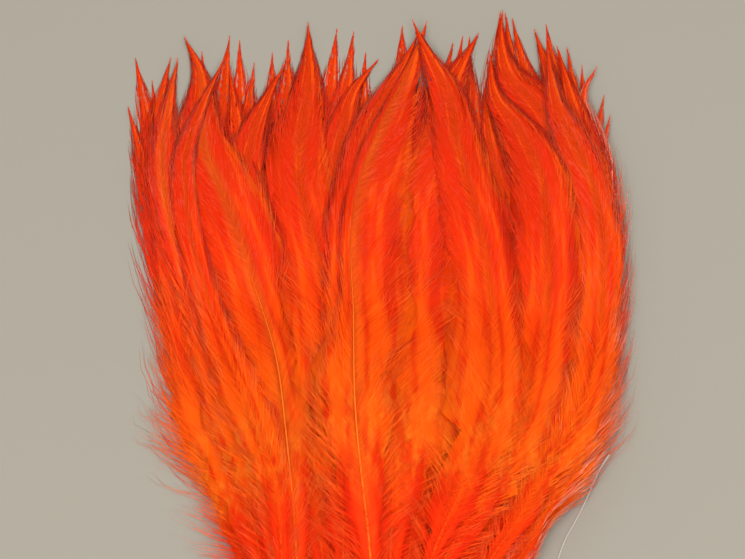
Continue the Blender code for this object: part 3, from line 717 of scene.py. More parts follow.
@dataclass
class VaneChart:
    """A grid over one feather's vanes, in shares of its width and length, laid on its solid."""

    number: int
    hackle: Hackle
    across: float
    layout: StrungLayout
    tip_taper: float = 22 * MM
    tip_slenderness: float = 1.4
    fluff_start: float = 11 * MM
    fluff_full: float = 42 * MM
    fluff_fade: float = 66 * MM
    fluff_end: float = 100 * MM
    fluff_extra: float = 2.4 * MM
    floor: float = 0.06 * MM
    least_width: float = 0.12 * MM
    tip_fill: float = 0.44
    tip_fill_run: float = 30 * MM
    steepest_fall: float = -0.6 * MM
    steepest_rise: float = 0.4 * MM
    slope_kept: float = 0.7
    height_rounds: int = 2
    edge_droop: float = 1.3 * MM
    droop_power: float = 2.4
    least_upward: float = 1e-9
    faces_up: float = 0.9
    upward_rounds: int = 3
    length: float = field(init=False, default=0.0)
    shares: np.ndarray = field(init=False)
    across_shares: np.ndarray = field(init=False)
    grid: np.ndarray = field(init=False)
    upward: np.ndarray = field(init=False)
    spread: np.ndarray = field(init=False)

    def __post_init__(self) -> None:
        """Lays the chart out."""
        self.lay_out()

    def centre_line(self, stations: np.ndarray) -> np.ndarray:
        """The shaft's places in plan at these shares of its length, and sets the length.

        Args:
            stations: shares of the length, from 0 at the butt.

        Returns:
            The places.
        """
        view, h = self.layout.view, self.hackle
        plan = [view.on_table(pixel, view.guessed_height(h.lay, pixel[1])) for pixel in h.route]
        x = self.across + view.centre_x
        route = [(x, view.centre_y), (x, view.centre_y + self.layout.quill_end)] + plan[::-1]
        places, self.length = smooth_curve(route, stations)
        return places

    def in_fluff(self, from_butt: np.ndarray) -> np.ndarray:
        """How much of the fluff's fringe shows at these distances from the butt, 0 to 1."""
        return 1 - smoothstep((from_butt - self.fluff_fade) / (self.fluff_end - self.fluff_fade))

    def half_widths(self, from_butt: np.ndarray) -> list:
        """The left and right half widths at these distances from the butt.

        Args:
            from_butt: the distances.

        Returns:
            The half widths of the left vane, and those of the right one.
        """
        h, quill = self.hackle, self.layout.quill_radius
        to_tip = np.maximum(self.length - from_butt, 0) / self.tip_taper
        web = h.half_width * (1 - np.exp(-to_tip ** self.tip_slenderness))
        in_fluff = self.in_fluff(from_butt)
        opening = smoothstep((from_butt - self.fluff_start) / (self.fluff_full - self.fluff_start))
        width = quill + (web + self.fluff_extra * in_fluff - quill) * opening
        sides = []
        for share, fringe in ((h.left_vane, h.left_fringe), (h.right_vane, h.right_fringe)):
            side = width * (1 + (share + (fringe - share) * in_fluff - 1) * opening)
            sides.append(np.maximum(side, self.least_width))
        return sides

    def fill_shares(self, from_butt: np.ndarray) -> list:
        """How much of each side most barbs fill: less than all where only a thin fringe goes further.

        Args:
            from_butt: distances from the butt.

        Returns:
            The left side's shares, and the right side's.
        """
        h, in_fluff = self.hackle, self.in_fluff(from_butt)
        to_tip = (self.length - from_butt) / self.tip_fill_run
        slender = self.tip_fill + (1 - self.tip_fill) * smoothstep(to_tip)
        return [slender * (fill + (h.fluff_fill - fill) * in_fluff) for fill in (h.left_fill, h.right_fill)]

    def heights(self, plan: np.ndarray) -> np.ndarray:
        """How high the feather's solid lies under each place of the grid.

        Args:
            plan: places in plan, rows along the shaft and columns across it.

        Returns:
            The heights, carried on past the solid's own edge.
        """
        surface = Surface(f"feather_{self.number:02d}")
        rows, columns = plan.shape[:2]
        found = np.full((rows, columns), np.nan)
        for i in range(rows):
            for j in range(columns):
                top, low = surface.top(*plan[i, j]), surface.low(*plan[i, j])
                found[i, j] = top if np.isnan(low) else (top + low) / 2
        middle = columns // 2
        found[:, middle] = filled(found[:, middle])
        for step in (1, -1):
            for j in range(middle + step, columns if step > 0 else -1, step):
                inner, before = found[:, j - step], found[:, j - 2 * step]
                near = abs(j - middle) == 1
                slope = 0 if near else np.clip(inner - before, self.steepest_fall, self.steepest_rise)
                found[:, j] = np.where(np.isnan(found[:, j]), inner + self.slope_kept * slope, found[:, j])
        for _ in range(self.height_rounds):
            found[1:-1] = 0.5 * found[1:-1] + 0.25 * (found[:-2] + found[2:])
        outward = np.abs(np.linspace(-1, 1, columns)) ** self.droop_power
        return np.maximum(found - self.edge_droop * outward, self.floor)

    def lay_out(self) -> None:
        """Sets the grid over the vanes, with its upward directions."""
        v = np.linspace(-1, 1, 2 * GRID.half_columns + 1)
        v = np.sign(v) * np.abs(v) ** GRID.column_power * GRID.beyond
        foot = np.linspace(0, GRID.foot_share, GRID.foot_rows)
        s = np.concatenate([foot[:-1], np.linspace(GRID.foot_share, 1, GRID.rows - GRID.foot_rows + 1)])
        centre = self.centre_line(s)
        along = np.gradient(centre, axis=0)
        along /= np.linalg.norm(along, axis=1)[:, None]
        aside = np.column_stack([-along[:, 1], along[:, 0]])
        left, right = self.half_widths(s * self.length)
        reach = np.where(v[None, :] < 0, left[:, None], right[:, None]) * np.abs(v)[None, :]
        side = -np.sign(v)[None, :, None]
        plan = centre[:, None] + aside[:, None] * reach[:, :, None] * side
        plan[:, :, 0] = self.layout.kept_from_tail(plan, centre[:, None, 0])
        grid = np.dstack([plan, self.heights(plan)])
        upward = np.cross(np.gradient(grid, axis=1), np.gradient(grid, axis=0))
        upward[upward[:, :, 2] < 0] *= -1
        upward[:, :, 2] += self.least_upward
        upward[-1] = UP
        upward /= np.linalg.norm(upward, axis=2)[:, :, None]
        upward[:, :, 2] += self.faces_up
        for _ in range(self.upward_rounds):
            upward[1:-1] = upward[:-2] + 2 * upward[1:-1] + upward[2:]
            upward[:, 1:-1] = upward[:, :-2] + 2 * upward[:, 1:-1] + upward[:, 2:]
            upward /= np.linalg.norm(upward, axis=2)[:, :, None]
        fill_left, fill_right = self.fill_shares(s * self.length)
        self.shares, self.across_shares, self.grid, self.upward = s, v, grid, upward
        self.spread = np.where(v[None, :] < 0, fill_left[:, None], fill_right[:, None])

    def mesh_object(self) -> bpy.types.Object:
        """The chart as an object with its attributes: share of length, map place and upward direction.

        Returns:
            The object.
        """
        s, v = self.shares, self.across_shares
        rows, columns = self.spread.shape
        quads = grid_quads(np.arange(rows * columns).reshape(rows, columns))
        mesh = bpy.data.meshes.new("chart")
        mesh.from_pydata(self.grid.reshape(-1, 3).tolist(), [], quads.tolist())
        u = (v / GRID.beyond + 1) / 2
        places = np.stack(np.meshgrid(s, u, indexing="ij")[::-1], axis=2).reshape(-1, 2)
        layer = mesh.uv_layers.new(name="chart")
        corner = np.array([loop.vertex_index for loop in mesh.loops])
        layer.data.foreach_set("uv", places[corner].ravel())
        for name, values in (("station", np.repeat(s, columns)), ("spread", self.spread.ravel()),
                             ("centre", np.tile((np.arange(columns) == columns // 2) * 1.0, rows))):
            mesh.attributes.new(name, "FLOAT", "POINT").data.foreach_set("value", values)
        up = mesh.attributes.new("chart_up", "FLOAT_VECTOR", "POINT")
        up.data.foreach_set("vector", self.upward.ravel())
        return linked(f"chart_{self.number:02d}", mesh)


@dataclass
class Web:
    """The thin felt of hooked barbules between the barbs of a vane."""

    chart: VaneChart
    start: float = 15 * MM
    full: float = 90 * MM
    widest: float = 0.88
    foot_share: float = 0.30
    foot_share_below: float = 0.88
    upper_lay: int = 60
    tip_from: float = 0.70
    tip_run: float = 0.24
    tip_share: float = 0.60
    tip_share_below: float = 0.35
    inner: range = range(7, 44)
    columns: int = 5
    row_step: int = 2
    uneven: float = 0.12
    uneven_in_fluff: float = 2.0
    sunk: float = 0.06 * MM
    thickness: float = 0.05 * MM
    lowest: float = 0.01 * MM
    along_barb: float = 0.3
    tone: float = 0.4

    def widths(self, rows: np.ndarray) -> np.ndarray:
        """How far the web goes to both sides at these rows of the chart, in shares of the vane.

        Args:
            rows: the rows' numbers.

        Returns:
            The shares, one row of two for each.
        """
        chart = self.chart
        from_butt = chart.shares[rows] * chart.length
        lay = chart.hackle.lay
        under_others = lay < self.upper_lay and chart.number in self.inner
        foot = self.foot_share_below if under_others else self.foot_share
        grown = smoothstep((from_butt - self.start) / (self.full - self.start))
        to_tip = smoothstep((chart.shares[rows] - self.tip_from) / self.tip_run)
        tip_share = self.tip_share if lay >= FeatherBunch.top_from else self.tip_share_below
        limit = self.widest * (foot + (1 - foot) * grown) * (1 - (1 - tip_share) * to_tip)
        notches = np.random.default_rng(chart.number).uniform(-self.uneven, self.uneven, (len(rows), 2))
        deeper = 1 + self.uneven_in_fluff * chart.in_fluff(from_butt)[:, None]
        return limit[:, None] * (1 + notches * deeper)

    def mesh_object(self) -> bpy.types.Object:
        """The web as a closed thin sheet, with the attributes that colour it.

        Returns:
            The sheet's object.
        """
        chart = self.chart
        rows = np.where(chart.shares * chart.length > self.start)[0][::self.row_step]
        rows = np.unique(np.append(rows, len(chart.shares) - 2))
        shares = np.linspace(-1, 1, self.columns)
        limit = self.widths(rows)
        v = np.where(shares < 0, limit[:, :1], limit[:, 1:]) * shares[None, :]
        wanted = v * np.where(v < 0, chart.spread[rows, 0][:, None], chart.spread[rows, -1][:, None])
        place = np.empty((len(rows), self.columns, 3))
        upward = np.empty_like(place)
        for i, row in enumerate(rows):
            for k in range(3):
                place[i, :, k] = np.interp(wanted[i], chart.across_shares, chart.grid[row, :, k])
                upward[i, :, k] = np.interp(wanted[i], chart.across_shares, chart.upward[row, :, k])
        top = place - upward * self.sunk
        points = np.vstack([top.reshape(-1, 3), (top - upward * self.thickness).reshape(-1, 3)])
        points[:, 2] = np.maximum(points[:, 2], self.lowest)
        count = len(rows) * self.columns
        index = np.arange(count).reshape(len(rows), self.columns)
        quads = grid_quads(index)
        rim = np.concatenate([index[0, :-1], index[:-1, -1], index[-1, :0:-1], index[:0:-1, 0]])
        wall = np.stack([rim, rim + count, np.roll(rim, -1) + count, np.roll(rim, -1)], axis=1)
        mesh = bpy.data.meshes.new("web")
        mesh.from_pydata(points.tolist(), [], np.vstack([quads, quads[:, ::-1] + count, wall]).tolist())
        station = np.repeat(chart.shares[rows], self.columns)
        marks = np.column_stack([wanted.ravel(), station, np.full(count, self.along_barb)])
        where = mesh.attributes.new("place", "FLOAT_VECTOR", "POINT")
        where.data.foreach_set("vector", np.tile(marks, (2, 1)).ravel())
        for name, value in (("down", Kind.BARB.value), ("tone", self.tone)):
            mesh.attributes.new(name, "FLOAT", "POINT").data.foreach_set("value", np.full(2 * count, value))
        return linked(f"web_{chart.number:02d}", mesh)


class BarbPathTree(GeometryTree):
    """Where a point of a barb lies, for each share of its length."""

    LONGEST = 1.2
    FIRST_STATION = 0.004
    LAST_STATION = 0.9985
    MAP_EDGE = 0.002
    LIFT_POWER = 1.4

    def __init__(self) -> None:
        """Builds the tree."""
        super().__init__("barb_path", {"Chart": "Geometry", "T": "Float", "Bend": "Float"},
                         {"Position": "Vector", "Up": "Vector", "Station": "Float", "Across": "Float"})
        t, chart = self.given["T"], self.given["Chart"]
        t2 = self.times(t, t)
        forward = self.plus(self.times(self.named("ahead"), t), self.times(self.named("pull"), t2))
        station = self.plus(self.named("root"), forward)
        station = self.between(self.FIRST_STATION, station, self.LAST_STATION)
        wave_turn = self.scaled(self.times(t, self.named("curls")), math.tau, self.named("phase"))
        swing = self.times(self.math("SINE", wave_turn), t, self.named("wave"))
        opened = self.rest(self.math("POWER", self.rest(t), self.given["Bend"]))
        back = self.times(self.named("cross"), self.rest(t))
        outward = self.minus(self.times(opened, self.named("reach")), back)
        across = self.plus(self.times(outward, self.named("side")), swing)
        chart_map = self.named("chart", "FLOAT_VECTOR")
        where = self.join(self.map_place(across), station, 0.0)
        spread = self.sample(chart, self.named("spread"), chart_map, where, "FLOAT")
        across = self.times(across, self.mix(self.named("long"), spread, self.LONGEST))
        u = self.between(self.MAP_EDGE, self.map_place(across), 1 - self.MAP_EDGE)
        where = self.join(u, station, 0.0)
        position = self.sample(chart, self.out("GeometryNodeInputPosition"), chart_map, where)
        upward = self.sample(chart, self.named("chart_up", "FLOAT_VECTOR"), chart_map, where)
        bob = self.times(self.math("COSINE", wave_turn), t, self.named("bob"))
        rise = self.times(self.named("lift"), self.math("POWER", t, self.LIFT_POWER))
        lift = self.plus(rise, bob, self.named("base_lift"))
        position = self.vector("ADD", position, self.vector("SCALE", upward, scale=lift))
        found = {"Position": position, "Up": upward, "Station": station, "Across": across}
        for name, value in found.items():
            self.feed(self.result[name], value)

    def map_place(self, across: Any) -> Any:
        """Where a share of the vane's width lies on the chart's map."""
        return self.scaled(across, 0.5 / GRID.beyond, 0.5)

    def sample(self, chart: Any, value: Any, chart_map: Any, where: Any, kind: str = "FLOAT_VECTOR") -> Any:
        """A value read from the chart at a place on its map.

        Args:
            chart: the chart's mesh.
            value: the value to read.
            chart_map: its map.
            where: the place on the map.
            kind: the value's type, as Blender names it.

        Returns:
            The value there.
        """
        return self.out("GeometryNodeSampleUVSurface",
                        {"Mesh": chart, "Value": value, "UV Map": chart_map, "Sample UV": where},
                        "Value", data_type=kind)


class Draw(Enum):
    """What each barb or lock draws at random: its step from the seed, and its usual range."""

    ROOT = (0, 0.1, 0.9)
    LOCK_AHEAD = (1, 0.85, 1.15)
    AHEAD = (2, 0.94, 1.06)
    LOCK_REACH = (3, 0.0, 0.6)
    REACH = (4, 0.0, 0.4)
    LOCK_LIFT = (5, 0.0, 1.0)
    LIFT = (6, -0.35, 0.35)
    WAVE = (7, 0.5, 1.0)
    BASE_LIFT = (8, 0.0, 1.0)
    PHASE = (9, 0.0, math.tau)
    CURLS = (10, 0.7, 1.3)
    GIRTH = (11, 0.8, 1.15)
    ROLL = (12, -0.04, 0.10)
    TONE = (13, 0.0, 1.0)
    LONG = (14, 0.0, 1.0)
    ROOM = (15, 0.45, 0.8)
    CROSS = (16, 0.0, 1.0)


class BarbRowTree(GeometryTree):
    """Rows of barbs along both sides of a shaft, gathered into locks."""

    INPUTS = {"Chart": "Geometry", "Count": "Int", "Segments": "Int", "Seed": "Int"}
    SIZES = ("From", "To", "Tip Gap", "Full From", "Thin Share", "Skew", "Ragged", "Cross", "Base Lift",
             "Length", "Ahead Low", "Ahead High", "Reach Low", "Reach High", "Bend", "Width", "Thickness",
             "Lock", "Pull", "Lift Low", "Lift High", "Wave", "Bob", "Curls", "Down")
    NEARBY = 0.03
    SLIM_POWER = 2.6
    LEAST_LEFT = 1e-5
    ROOT_PART = 0.12
    ROOT_SWELL = 3.3
    ROOT_GIRTH = 0.6
    LOWEST = 0.02 * MM
    SIDE_EDGE = 0.6
    SIDE_STEP = 1009.0
    DRIFT_TURNS = 61.0
    DRIFT = 0.35
    AHEAD_GAIN = 1.6
    LAST_STATION = 0.999
    LOCK_BY_RAGGED = (0.85, 1.5)
    PULL_BY_RAGGED = (0.7, 3.2)
    LONG_BY_RAGGED = (2.6, 1.2)
    REACH_BY_RAGGED = 0.12
    LONG_GIRTH = 0.45

    def __init__(self, path: BarbPathTree) -> None:
        """Builds the tree on the path that a barb follows.

        Args:
            path: the tree of that path.
        """
        inputs = self.INPUTS | dict.fromkeys(self.SIZES, "Float")
        super().__init__("barb_row", inputs, {"Geometry": "Geometry"})
        given = self.given
        blade = self.out("GeometryNodeMeshCone", {"Vertices": 3, "Side Segments": given["Segments"],
                                                  "Radius Top": 0.0, "Radius Bottom": 1.0, "Depth": 1.0})
        barbs = self.out("GeometryNodeInstanceOnPoints", {"Points": self.roots(), "Instance": blade})
        barbs = self.out("GeometryNodeRealizeInstances", {"Geometry": barbs})
        x, y, t = self.split(self.out("GeometryNodeInputPosition"))
        barbs = self.store(barbs, "t", t)
        left = self.math("MAXIMUM", self.rest(t), self.LEAST_LEFT)
        barbs = self.store(barbs, "rib", self.over(x, left))
        barbs = self.store(barbs, "edge", self.over(y, left))
        t, edge = self.named("t"), self.named("edge")

        def on_path(share: Any) -> Any:
            """Where the barb is at this share of its length."""
            return self.call(path.tree, {"Chart": given["Chart"], "T": share, "Bend": given["Bend"]})

        here = on_path(t)
        ahead = on_path(self.math("MINIMUM", self.plus(t, self.NEARBY), 1.0))
        behind = on_path(self.math("MAXIMUM", self.minus(t, self.NEARBY), 0.0))
        along = self.vector("NORMALIZE", self.vector("SUBTRACT", ahead["Position"], behind["Position"]))
        aside = self.vector("NORMALIZE", self.vector("CROSS_PRODUCT", here["Up"], along))
        swell = self.scaled(self.math("MINIMUM", t, self.ROOT_PART), self.ROOT_SWELL, self.ROOT_GIRTH)
        slim = self.times(self.rest(self.math("POWER", t, self.SLIM_POWER)), swell)
        out = self.times(edge, self.times(slim, given["Width"], self.named("girth")))
        height = self.plus(self.times(self.named("rib"), slim, given["Thickness"]),
                           self.times(out, self.named("roll")))
        place = self.vector("ADD", here["Position"], self.vector("SCALE", aside, scale=out))
        place = self.vector("ADD", place, self.vector("SCALE", here["Up"], scale=height))
        x, y, z = self.split(place)
        place = self.join(x, y, self.math("MAXIMUM", z, self.LOWEST))
        barbs = self.out("GeometryNodeSetPosition", {"Geometry": barbs, "Position": place})
        at_side = self.math("GREATER_THAN", self.math("ABSOLUTE", edge), self.SIDE_EDGE)
        barbs = self.out("GeometryNodeSetShadeSmooth", {"Geometry": barbs, "Selection": at_side,
                                                        "Shade Smooth": False}, domain="EDGE")
        barbs = self.store(barbs, "place", self.join(here["Across"], here["Station"], t), "FLOAT_VECTOR")
        self.feed(self.result["Geometry"], self.store(barbs, "down", given["Down"]))

    def draw(self, what: Draw, number: Any, low: Any = None, high: Any = None) -> Any:
        """A random number for each barb or lock.

        Args:
            what: what is drawn.
            number: the barb's or the lock's own number.
            low: the least value, where it isn't the usual one.
            high: the greatest, where it isn't the usual one.

        Returns:
            The number drawn.
        """
        step, least, most = what.value
        low, high = least if low is None else low, most if high is None else high
        return self.random(low, high, number, self.plus(self.given["Seed"], step))

    def roots(self) -> Any:
        """One point for each barb, with all that sets its path.

        Returns:
            The points.
        """
        given, draw = self.given, self.draw
        index = self.out("GeometryNodeInputIndex")
        length, ragged = given["Length"], given["Ragged"]
        pair = self.math("FLOOR", self.over(index, 2.0))
        side = self.scaled(self.minus(index, self.times(pair, 2.0)), 2.0, -1.0)
        rank = self.over(self.plus(pair, draw(Draw.ROOT, index)), self.times(given["Count"], 0.5))
        last = self.math("MINIMUM", given["To"], self.minus(length, given["Tip Gap"]))
        root = self.over(self.mix(rank, given["From"], last), length)
        lock_share = self.over(self.times(given["Lock"], self.mix(ragged, *self.LOCK_BY_RAGGED)), length)
        drift = self.times(self.math("SINE", self.times(root, self.DRIFT_TURNS)), self.DRIFT)
        lock = self.math("FLOOR", self.plus(self.over(root, lock_share), drift))
        lock_id = self.scaled(side, self.SIDE_STEP, lock)
        middle = self.times(self.plus(lock, 0.5), lock_share)
        stage = self.between(0.0, self.times(rank, self.AHEAD_GAIN), 1.0)
        ahead = self.mix(stage, given["Ahead Low"], given["Ahead High"])
        ahead = self.times(ahead, draw(Draw.LOCK_AHEAD, lock_id), draw(Draw.AHEAD, index))
        room = self.times(self.rest(root), draw(Draw.ROOM, index))
        ahead = self.math("MINIMUM", self.over(ahead, length), room)
        pull = self.times(given["Pull"], self.mix(ragged, *self.PULL_BY_RAGGED))
        pull = self.times(self.minus(middle, root), pull)
        pull = self.math("MINIMUM", pull, self.minus(self.minus(self.LAST_STATION, root), ahead))
        frayed = self.times(ragged, self.REACH_BY_RAGGED)
        low, high = self.minus(given["Reach Low"], frayed), self.plus(given["Reach High"], frayed)
        chance = self.plus(draw(Draw.LOCK_REACH, lock_id), draw(Draw.REACH, index))
        lift = draw(Draw.LOCK_LIFT, lock_id, given["Lift Low"], given["Lift High"])
        own_wave = draw(Draw.WAVE, index)
        grown = self.over(self.minus(self.times(root, length), given["From"]),
                          self.minus(given["Full From"], given["From"]))
        full = self.mix(self.math("MINIMUM", grown, 1.0), given["Thin Share"], 1.0)
        far = self.math("POWER", draw(Draw.LONG, index), self.mix(ragged, *self.LONG_BY_RAGGED))
        full = self.times(full, self.mix(far, 1.0, self.LONG_GIRTH))
        values = {
            "side": side,
            "root": root,
            "ahead": ahead,
            "pull": pull,
            "reach": self.mix(self.math("POWER", chance, given["Skew"]), low, high),
            "lift": self.plus(lift, self.times(draw(Draw.LIFT, index), given["Lift High"])),
            "base_lift": draw(Draw.BASE_LIFT, index, high=given["Base Lift"]),
            "cross": draw(Draw.CROSS, index, high=given["Cross"]),
            "phase": draw(Draw.PHASE, index),
            "wave": self.times(own_wave, given["Wave"]),
            "bob": self.times(own_wave, given["Bob"]),
            "curls": self.times(draw(Draw.CURLS, index), given["Curls"]),
            "girth": self.times(full, draw(Draw.GIRTH, index)),
            "roll": draw(Draw.ROLL, index),
            "tone": draw(Draw.TONE, lock_id),
            "long": far,
        }
        points = self.out("GeometryNodePoints", {"Count": given["Count"]})
        for name, value in values.items():
            points = self.store(points, name, value)
        return points


class HackleTree(GeometryTree):
    """A whole feather on its chart: webbed barbs, downy barbs and the shaft."""

    INPUTS = {"Geometry": "Geometry", "Vane Count": "Int", "Down Count": "Int", "Vane Segments": "Int",
              "Down Segments": "Int", "Seed": "Int", "Web": "Object", "Finish": "Material"}
    SIZES = ("Length", "Vane Width", "Down Width", "Cross", "Quill Radius", "Shaft Rise", "Ragged")
    VANE = {"From": 44 * MM, "To": 1.0, "Tip Gap": 1.0 * MM, "Full From": 98 * MM, "Thin Share": 0.4,
            "Skew": 0.8, "Cross": 0.0, "Base Lift": 0.05 * MM, "Bend": 1.6, "Ahead Low": 13 * MM,
            "Ahead High": 34 * MM, "Reach Low": 0.62, "Reach High": 1.14, "Thickness": 0.03 * MM,
            "Lock": 3.2 * MM, "Pull": 0.25, "Lift Low": -0.02 * MM, "Lift High": 0.10 * MM, "Wave": 0.015,
            "Bob": 0.05 * MM, "Curls": 1.2, "Down": Kind.BARB.value}
    DOWN = {"From": 11 * MM, "To": 92 * MM, "Tip Gap": 40 * MM, "Full From": 40 * MM, "Thin Share": 0.8,
            "Skew": 1.0, "Base Lift": 0.9 * MM, "Bend": 1.3, "Ahead Low": 5 * MM,
            "Ahead High": 17 * MM, "Reach Low": 0.40, "Reach High": 1.15, "Thickness": 0.03 * MM,
            "Lock": 2.0 * MM, "Pull": 0.25, "Lift Low": 0.1 * MM, "Lift High": 1.8 * MM, "Wave": 0.07,
            "Bob": 0.5 * MM, "Curls": 2.3, "Down": Kind.DOWN.value}
    DOWN_SEED = 50.0
    ON_LINE = 0.99
    TAPER_POWER = 1.7
    LEAST_GIRTH = 0.24
    BUTT_OPENING = 60.0
    BUTT_GIRTH = 0.55
    RING_POINTS = 7
    HIGHEST_AT = 0.42
    RISE_FALL = 4.5
    SUNK_GIRTH = 0.35

    def __init__(self, row: BarbRowTree) -> None:
        """Builds the tree on the rows of barbs.

        Args:
            row: the tree that makes them.
        """
        inputs = self.INPUTS | dict.fromkeys(self.SIZES, "Float")
        super().__init__("hackle", inputs, {"Geometry": "Geometry"})
        given = self.given
        down_seed = self.plus(given["Seed"], self.DOWN_SEED)
        web = self.out("GeometryNodeObjectInfo", {"Object": given["Web"]}, "Geometry")
        feather = self.node("GeometryNodeJoinGeometry")
        for part in (self.shaft(), web,
                     self.barbs(row, "Down", down_seed, self.DOWN | {"Cross": given["Cross"]}),
                     self.barbs(row, "Vane", given["Seed"], self.VANE)):
            self.tree.links.new(part, feather.inputs[0])
        self.feed(self.result["Geometry"], self.smooth(feather.outputs[0], given["Finish"]))

    def barbs(self, row: BarbRowTree, part: str, seed: Any, sizes: dict) -> Any:
        """The barbs of one part of the feather.

        Args:
            row: the tree that makes rows of barbs.
            part: "Vane" or "Down", as the inputs' names begin.
            seed: its seed.
            sizes: values for the tree's other inputs.

        Returns:
            The barbs.
        """
        own = {socket: self.given[f"{part} {socket}"] for socket in ("Count", "Segments", "Width")}
        shared = {"Chart": self.given["Geometry"], "Length": self.given["Length"],
                  "Ragged": self.given["Ragged"], "Seed": seed}
        return self.call(row.tree, own | shared | sizes)["Geometry"]

    def shaft(self) -> Any:
        """The tapered shaft along the middle of the chart, with its bare quill and cut end.

        Returns:
            The shaft.
        """
        given, station = self.given, self.named("station")
        on_line = self.math("GREATER_THAN", self.named("centre"), self.ON_LINE)
        line = self.out("GeometryNodeMeshToCurve", {"Mesh": given["Geometry"], "Selection": on_line})
        thin = self.math("POWER", self.math("MAXIMUM", self.rest(station), 0.0), self.TAPER_POWER)
        thin = self.math("MAXIMUM", thin, self.LEAST_GIRTH)
        butt = self.math("MINIMUM", self.scaled(station, self.BUTT_OPENING, self.BUTT_GIRTH), 1.0)
        girth = self.times(thin, butt, given["Quill Radius"])
        ring = self.out("GeometryNodeCurvePrimitiveCircle", {"Resolution": self.RING_POINTS, "Radius": 1.0})
        ring = self.store(ring, "around", self.out("GeometryNodeSplineParameter"))
        line = self.store(line, "girth", girth)
        tube = self.out("GeometryNodeCurveToMesh", {"Curve": line, "Profile Curve": ring, "Scale": girth,
                                                    "Fill Caps": True})
        place = self.join(self.scaled(self.named("around"), 2.0, -1.0), station, 0.0)
        tube = self.store(tube, "place", place, "FLOAT_VECTOR")
        tube = self.store(tube, "down", Kind.SHAFT.value)
        _, along, _ = self.split(self.named("place", "FLOAT_VECTOR"))
        from_top = self.math("ABSOLUTE", self.minus(along, self.HIGHEST_AT))
        bow = self.math("MAXIMUM", self.rest(self.times(from_top, self.RISE_FALL)), 0.0)
        rise = self.scaled(self.named("girth"), self.SUNK_GIRTH, self.times(bow, given["Shaft Rise"]))
        return self.out("GeometryNodeSetPosition", {"Geometry": tube, "Offset": self.join(0.0, 0.0, rise)})


@dataclass(frozen=True)
class DyedFeather:
    """The finish of one dyed feather."""

    name: str
    # Darker red at the tip: partly the dye's deeper red, partly painted shade over the upper ends
    tip: tuple = (0.74, 0.029, 0.001, 1.0)
    vane: tuple = (0.97, 0.050, 0.001, 1.0)
    # Deeper red: the dye of the random patches and of the foot, and also the colour that painted shade
    # takes low-lying feathers towards
    deep: tuple = (0.93, 0.034, 0.001, 1.0)
    orange: tuple = (0.90, 0.125, 0.002, 1.0)
    fluff: tuple = (0.98, 0.165, 0.003, 1.0)
    clump: tuple = (1.0, 0.290, 0.014, 1.0)
    shaft: tuple = (0.98, 0.130, 0.004, 1.0)
    bare: tuple = (1.0, 0.260, 0.020, 1.0)
    quill: tuple = (1.0, 0.330, 0.120, 1.0)
    butt: tuple = (0.80, 0.480, 0.270, 1.0)
    # Painted glint: pale streaks along the barbs
    frost: tuple = (1.0, 0.40, 0.27, 1.0)
    # Painted sheen: the pale ends of the barbs on glinting feathers
    wisp: tuple = (1.0, 0.70, 0.58, 1.0)
    # How much painted glint and sheen the barbs carry
    frosted: float = 0.15
    roughness: float = 0.60
    specular: float = 0.10
    thin: float = 0.50
    # Painted shade: below this lay the vane and tip go darker, by a share of this many lays
    deep_below: int = 80
    deep_run: int = 120

    @classmethod
    def of(cls, number: int, hackle: Hackle) -> "DyedFeather":
        """The finish of one feather, with painted shade: a darker red the lower it lies in the pile.

        Args:
            number: the feather's number, from 1.
            hackle: its row of the table.

        Returns:
            The finish.
        """
        # Painted shade for feathers low in the pile, which lie in the shade of those above
        depth = min(max((cls.deep_below - hackle.lay) / cls.deep_run, 0), 1)
        vane = toward(toward(cls.vane, cls.deep, depth), cls.orange, hackle.warm)
        tip = toward(cls.tip, cls.deep, depth)
        shaft = cls.bare if hackle.bare_shaft else cls.shaft
        return cls(f"dyed_feather_{number:02d}", tip=tip, vane=vane, shaft=shaft, frosted=hackle.frosted)

    def material(self, colours: "FeatherColours") -> bpy.types.Material:
        """The finish as a material.

        Args:
            colours: the shared group that colours barbs and shaft.

        Returns:
            The material.
        """
        material = bpy.data.materials.new(self.name)
        material.use_nodes = True
        maker = TreeMaker(material.node_tree)
        shader = material.node_tree.nodes["Principled BSDF"]
        output = material.node_tree.nodes["Material Output"]
        group = material.node_tree.nodes.new("ShaderNodeGroup")
        group.node_tree = colours.tree
        for socket in colours.COLOURS + colours.NUMBERS:
            group.inputs[socket].default_value = getattr(self, socket.lower())
        maker.feed(shader.inputs["Base Color"], group.outputs["Colour"])
        maker.feed(shader.inputs["Roughness"], group.outputs["Roughness"])
        shader.inputs["Specular IOR Level"].default_value = self.specular
        through = maker.node("ShaderNodeBsdfTranslucent", {"Color": group.outputs["Colour"]})
        halves = {0: self.thin, 1: shader.outputs[0], 2: through.outputs[0]}
        maker.feed(output.inputs["Surface"], maker.node("ShaderNodeMixShader", halves).outputs[0])
        return material


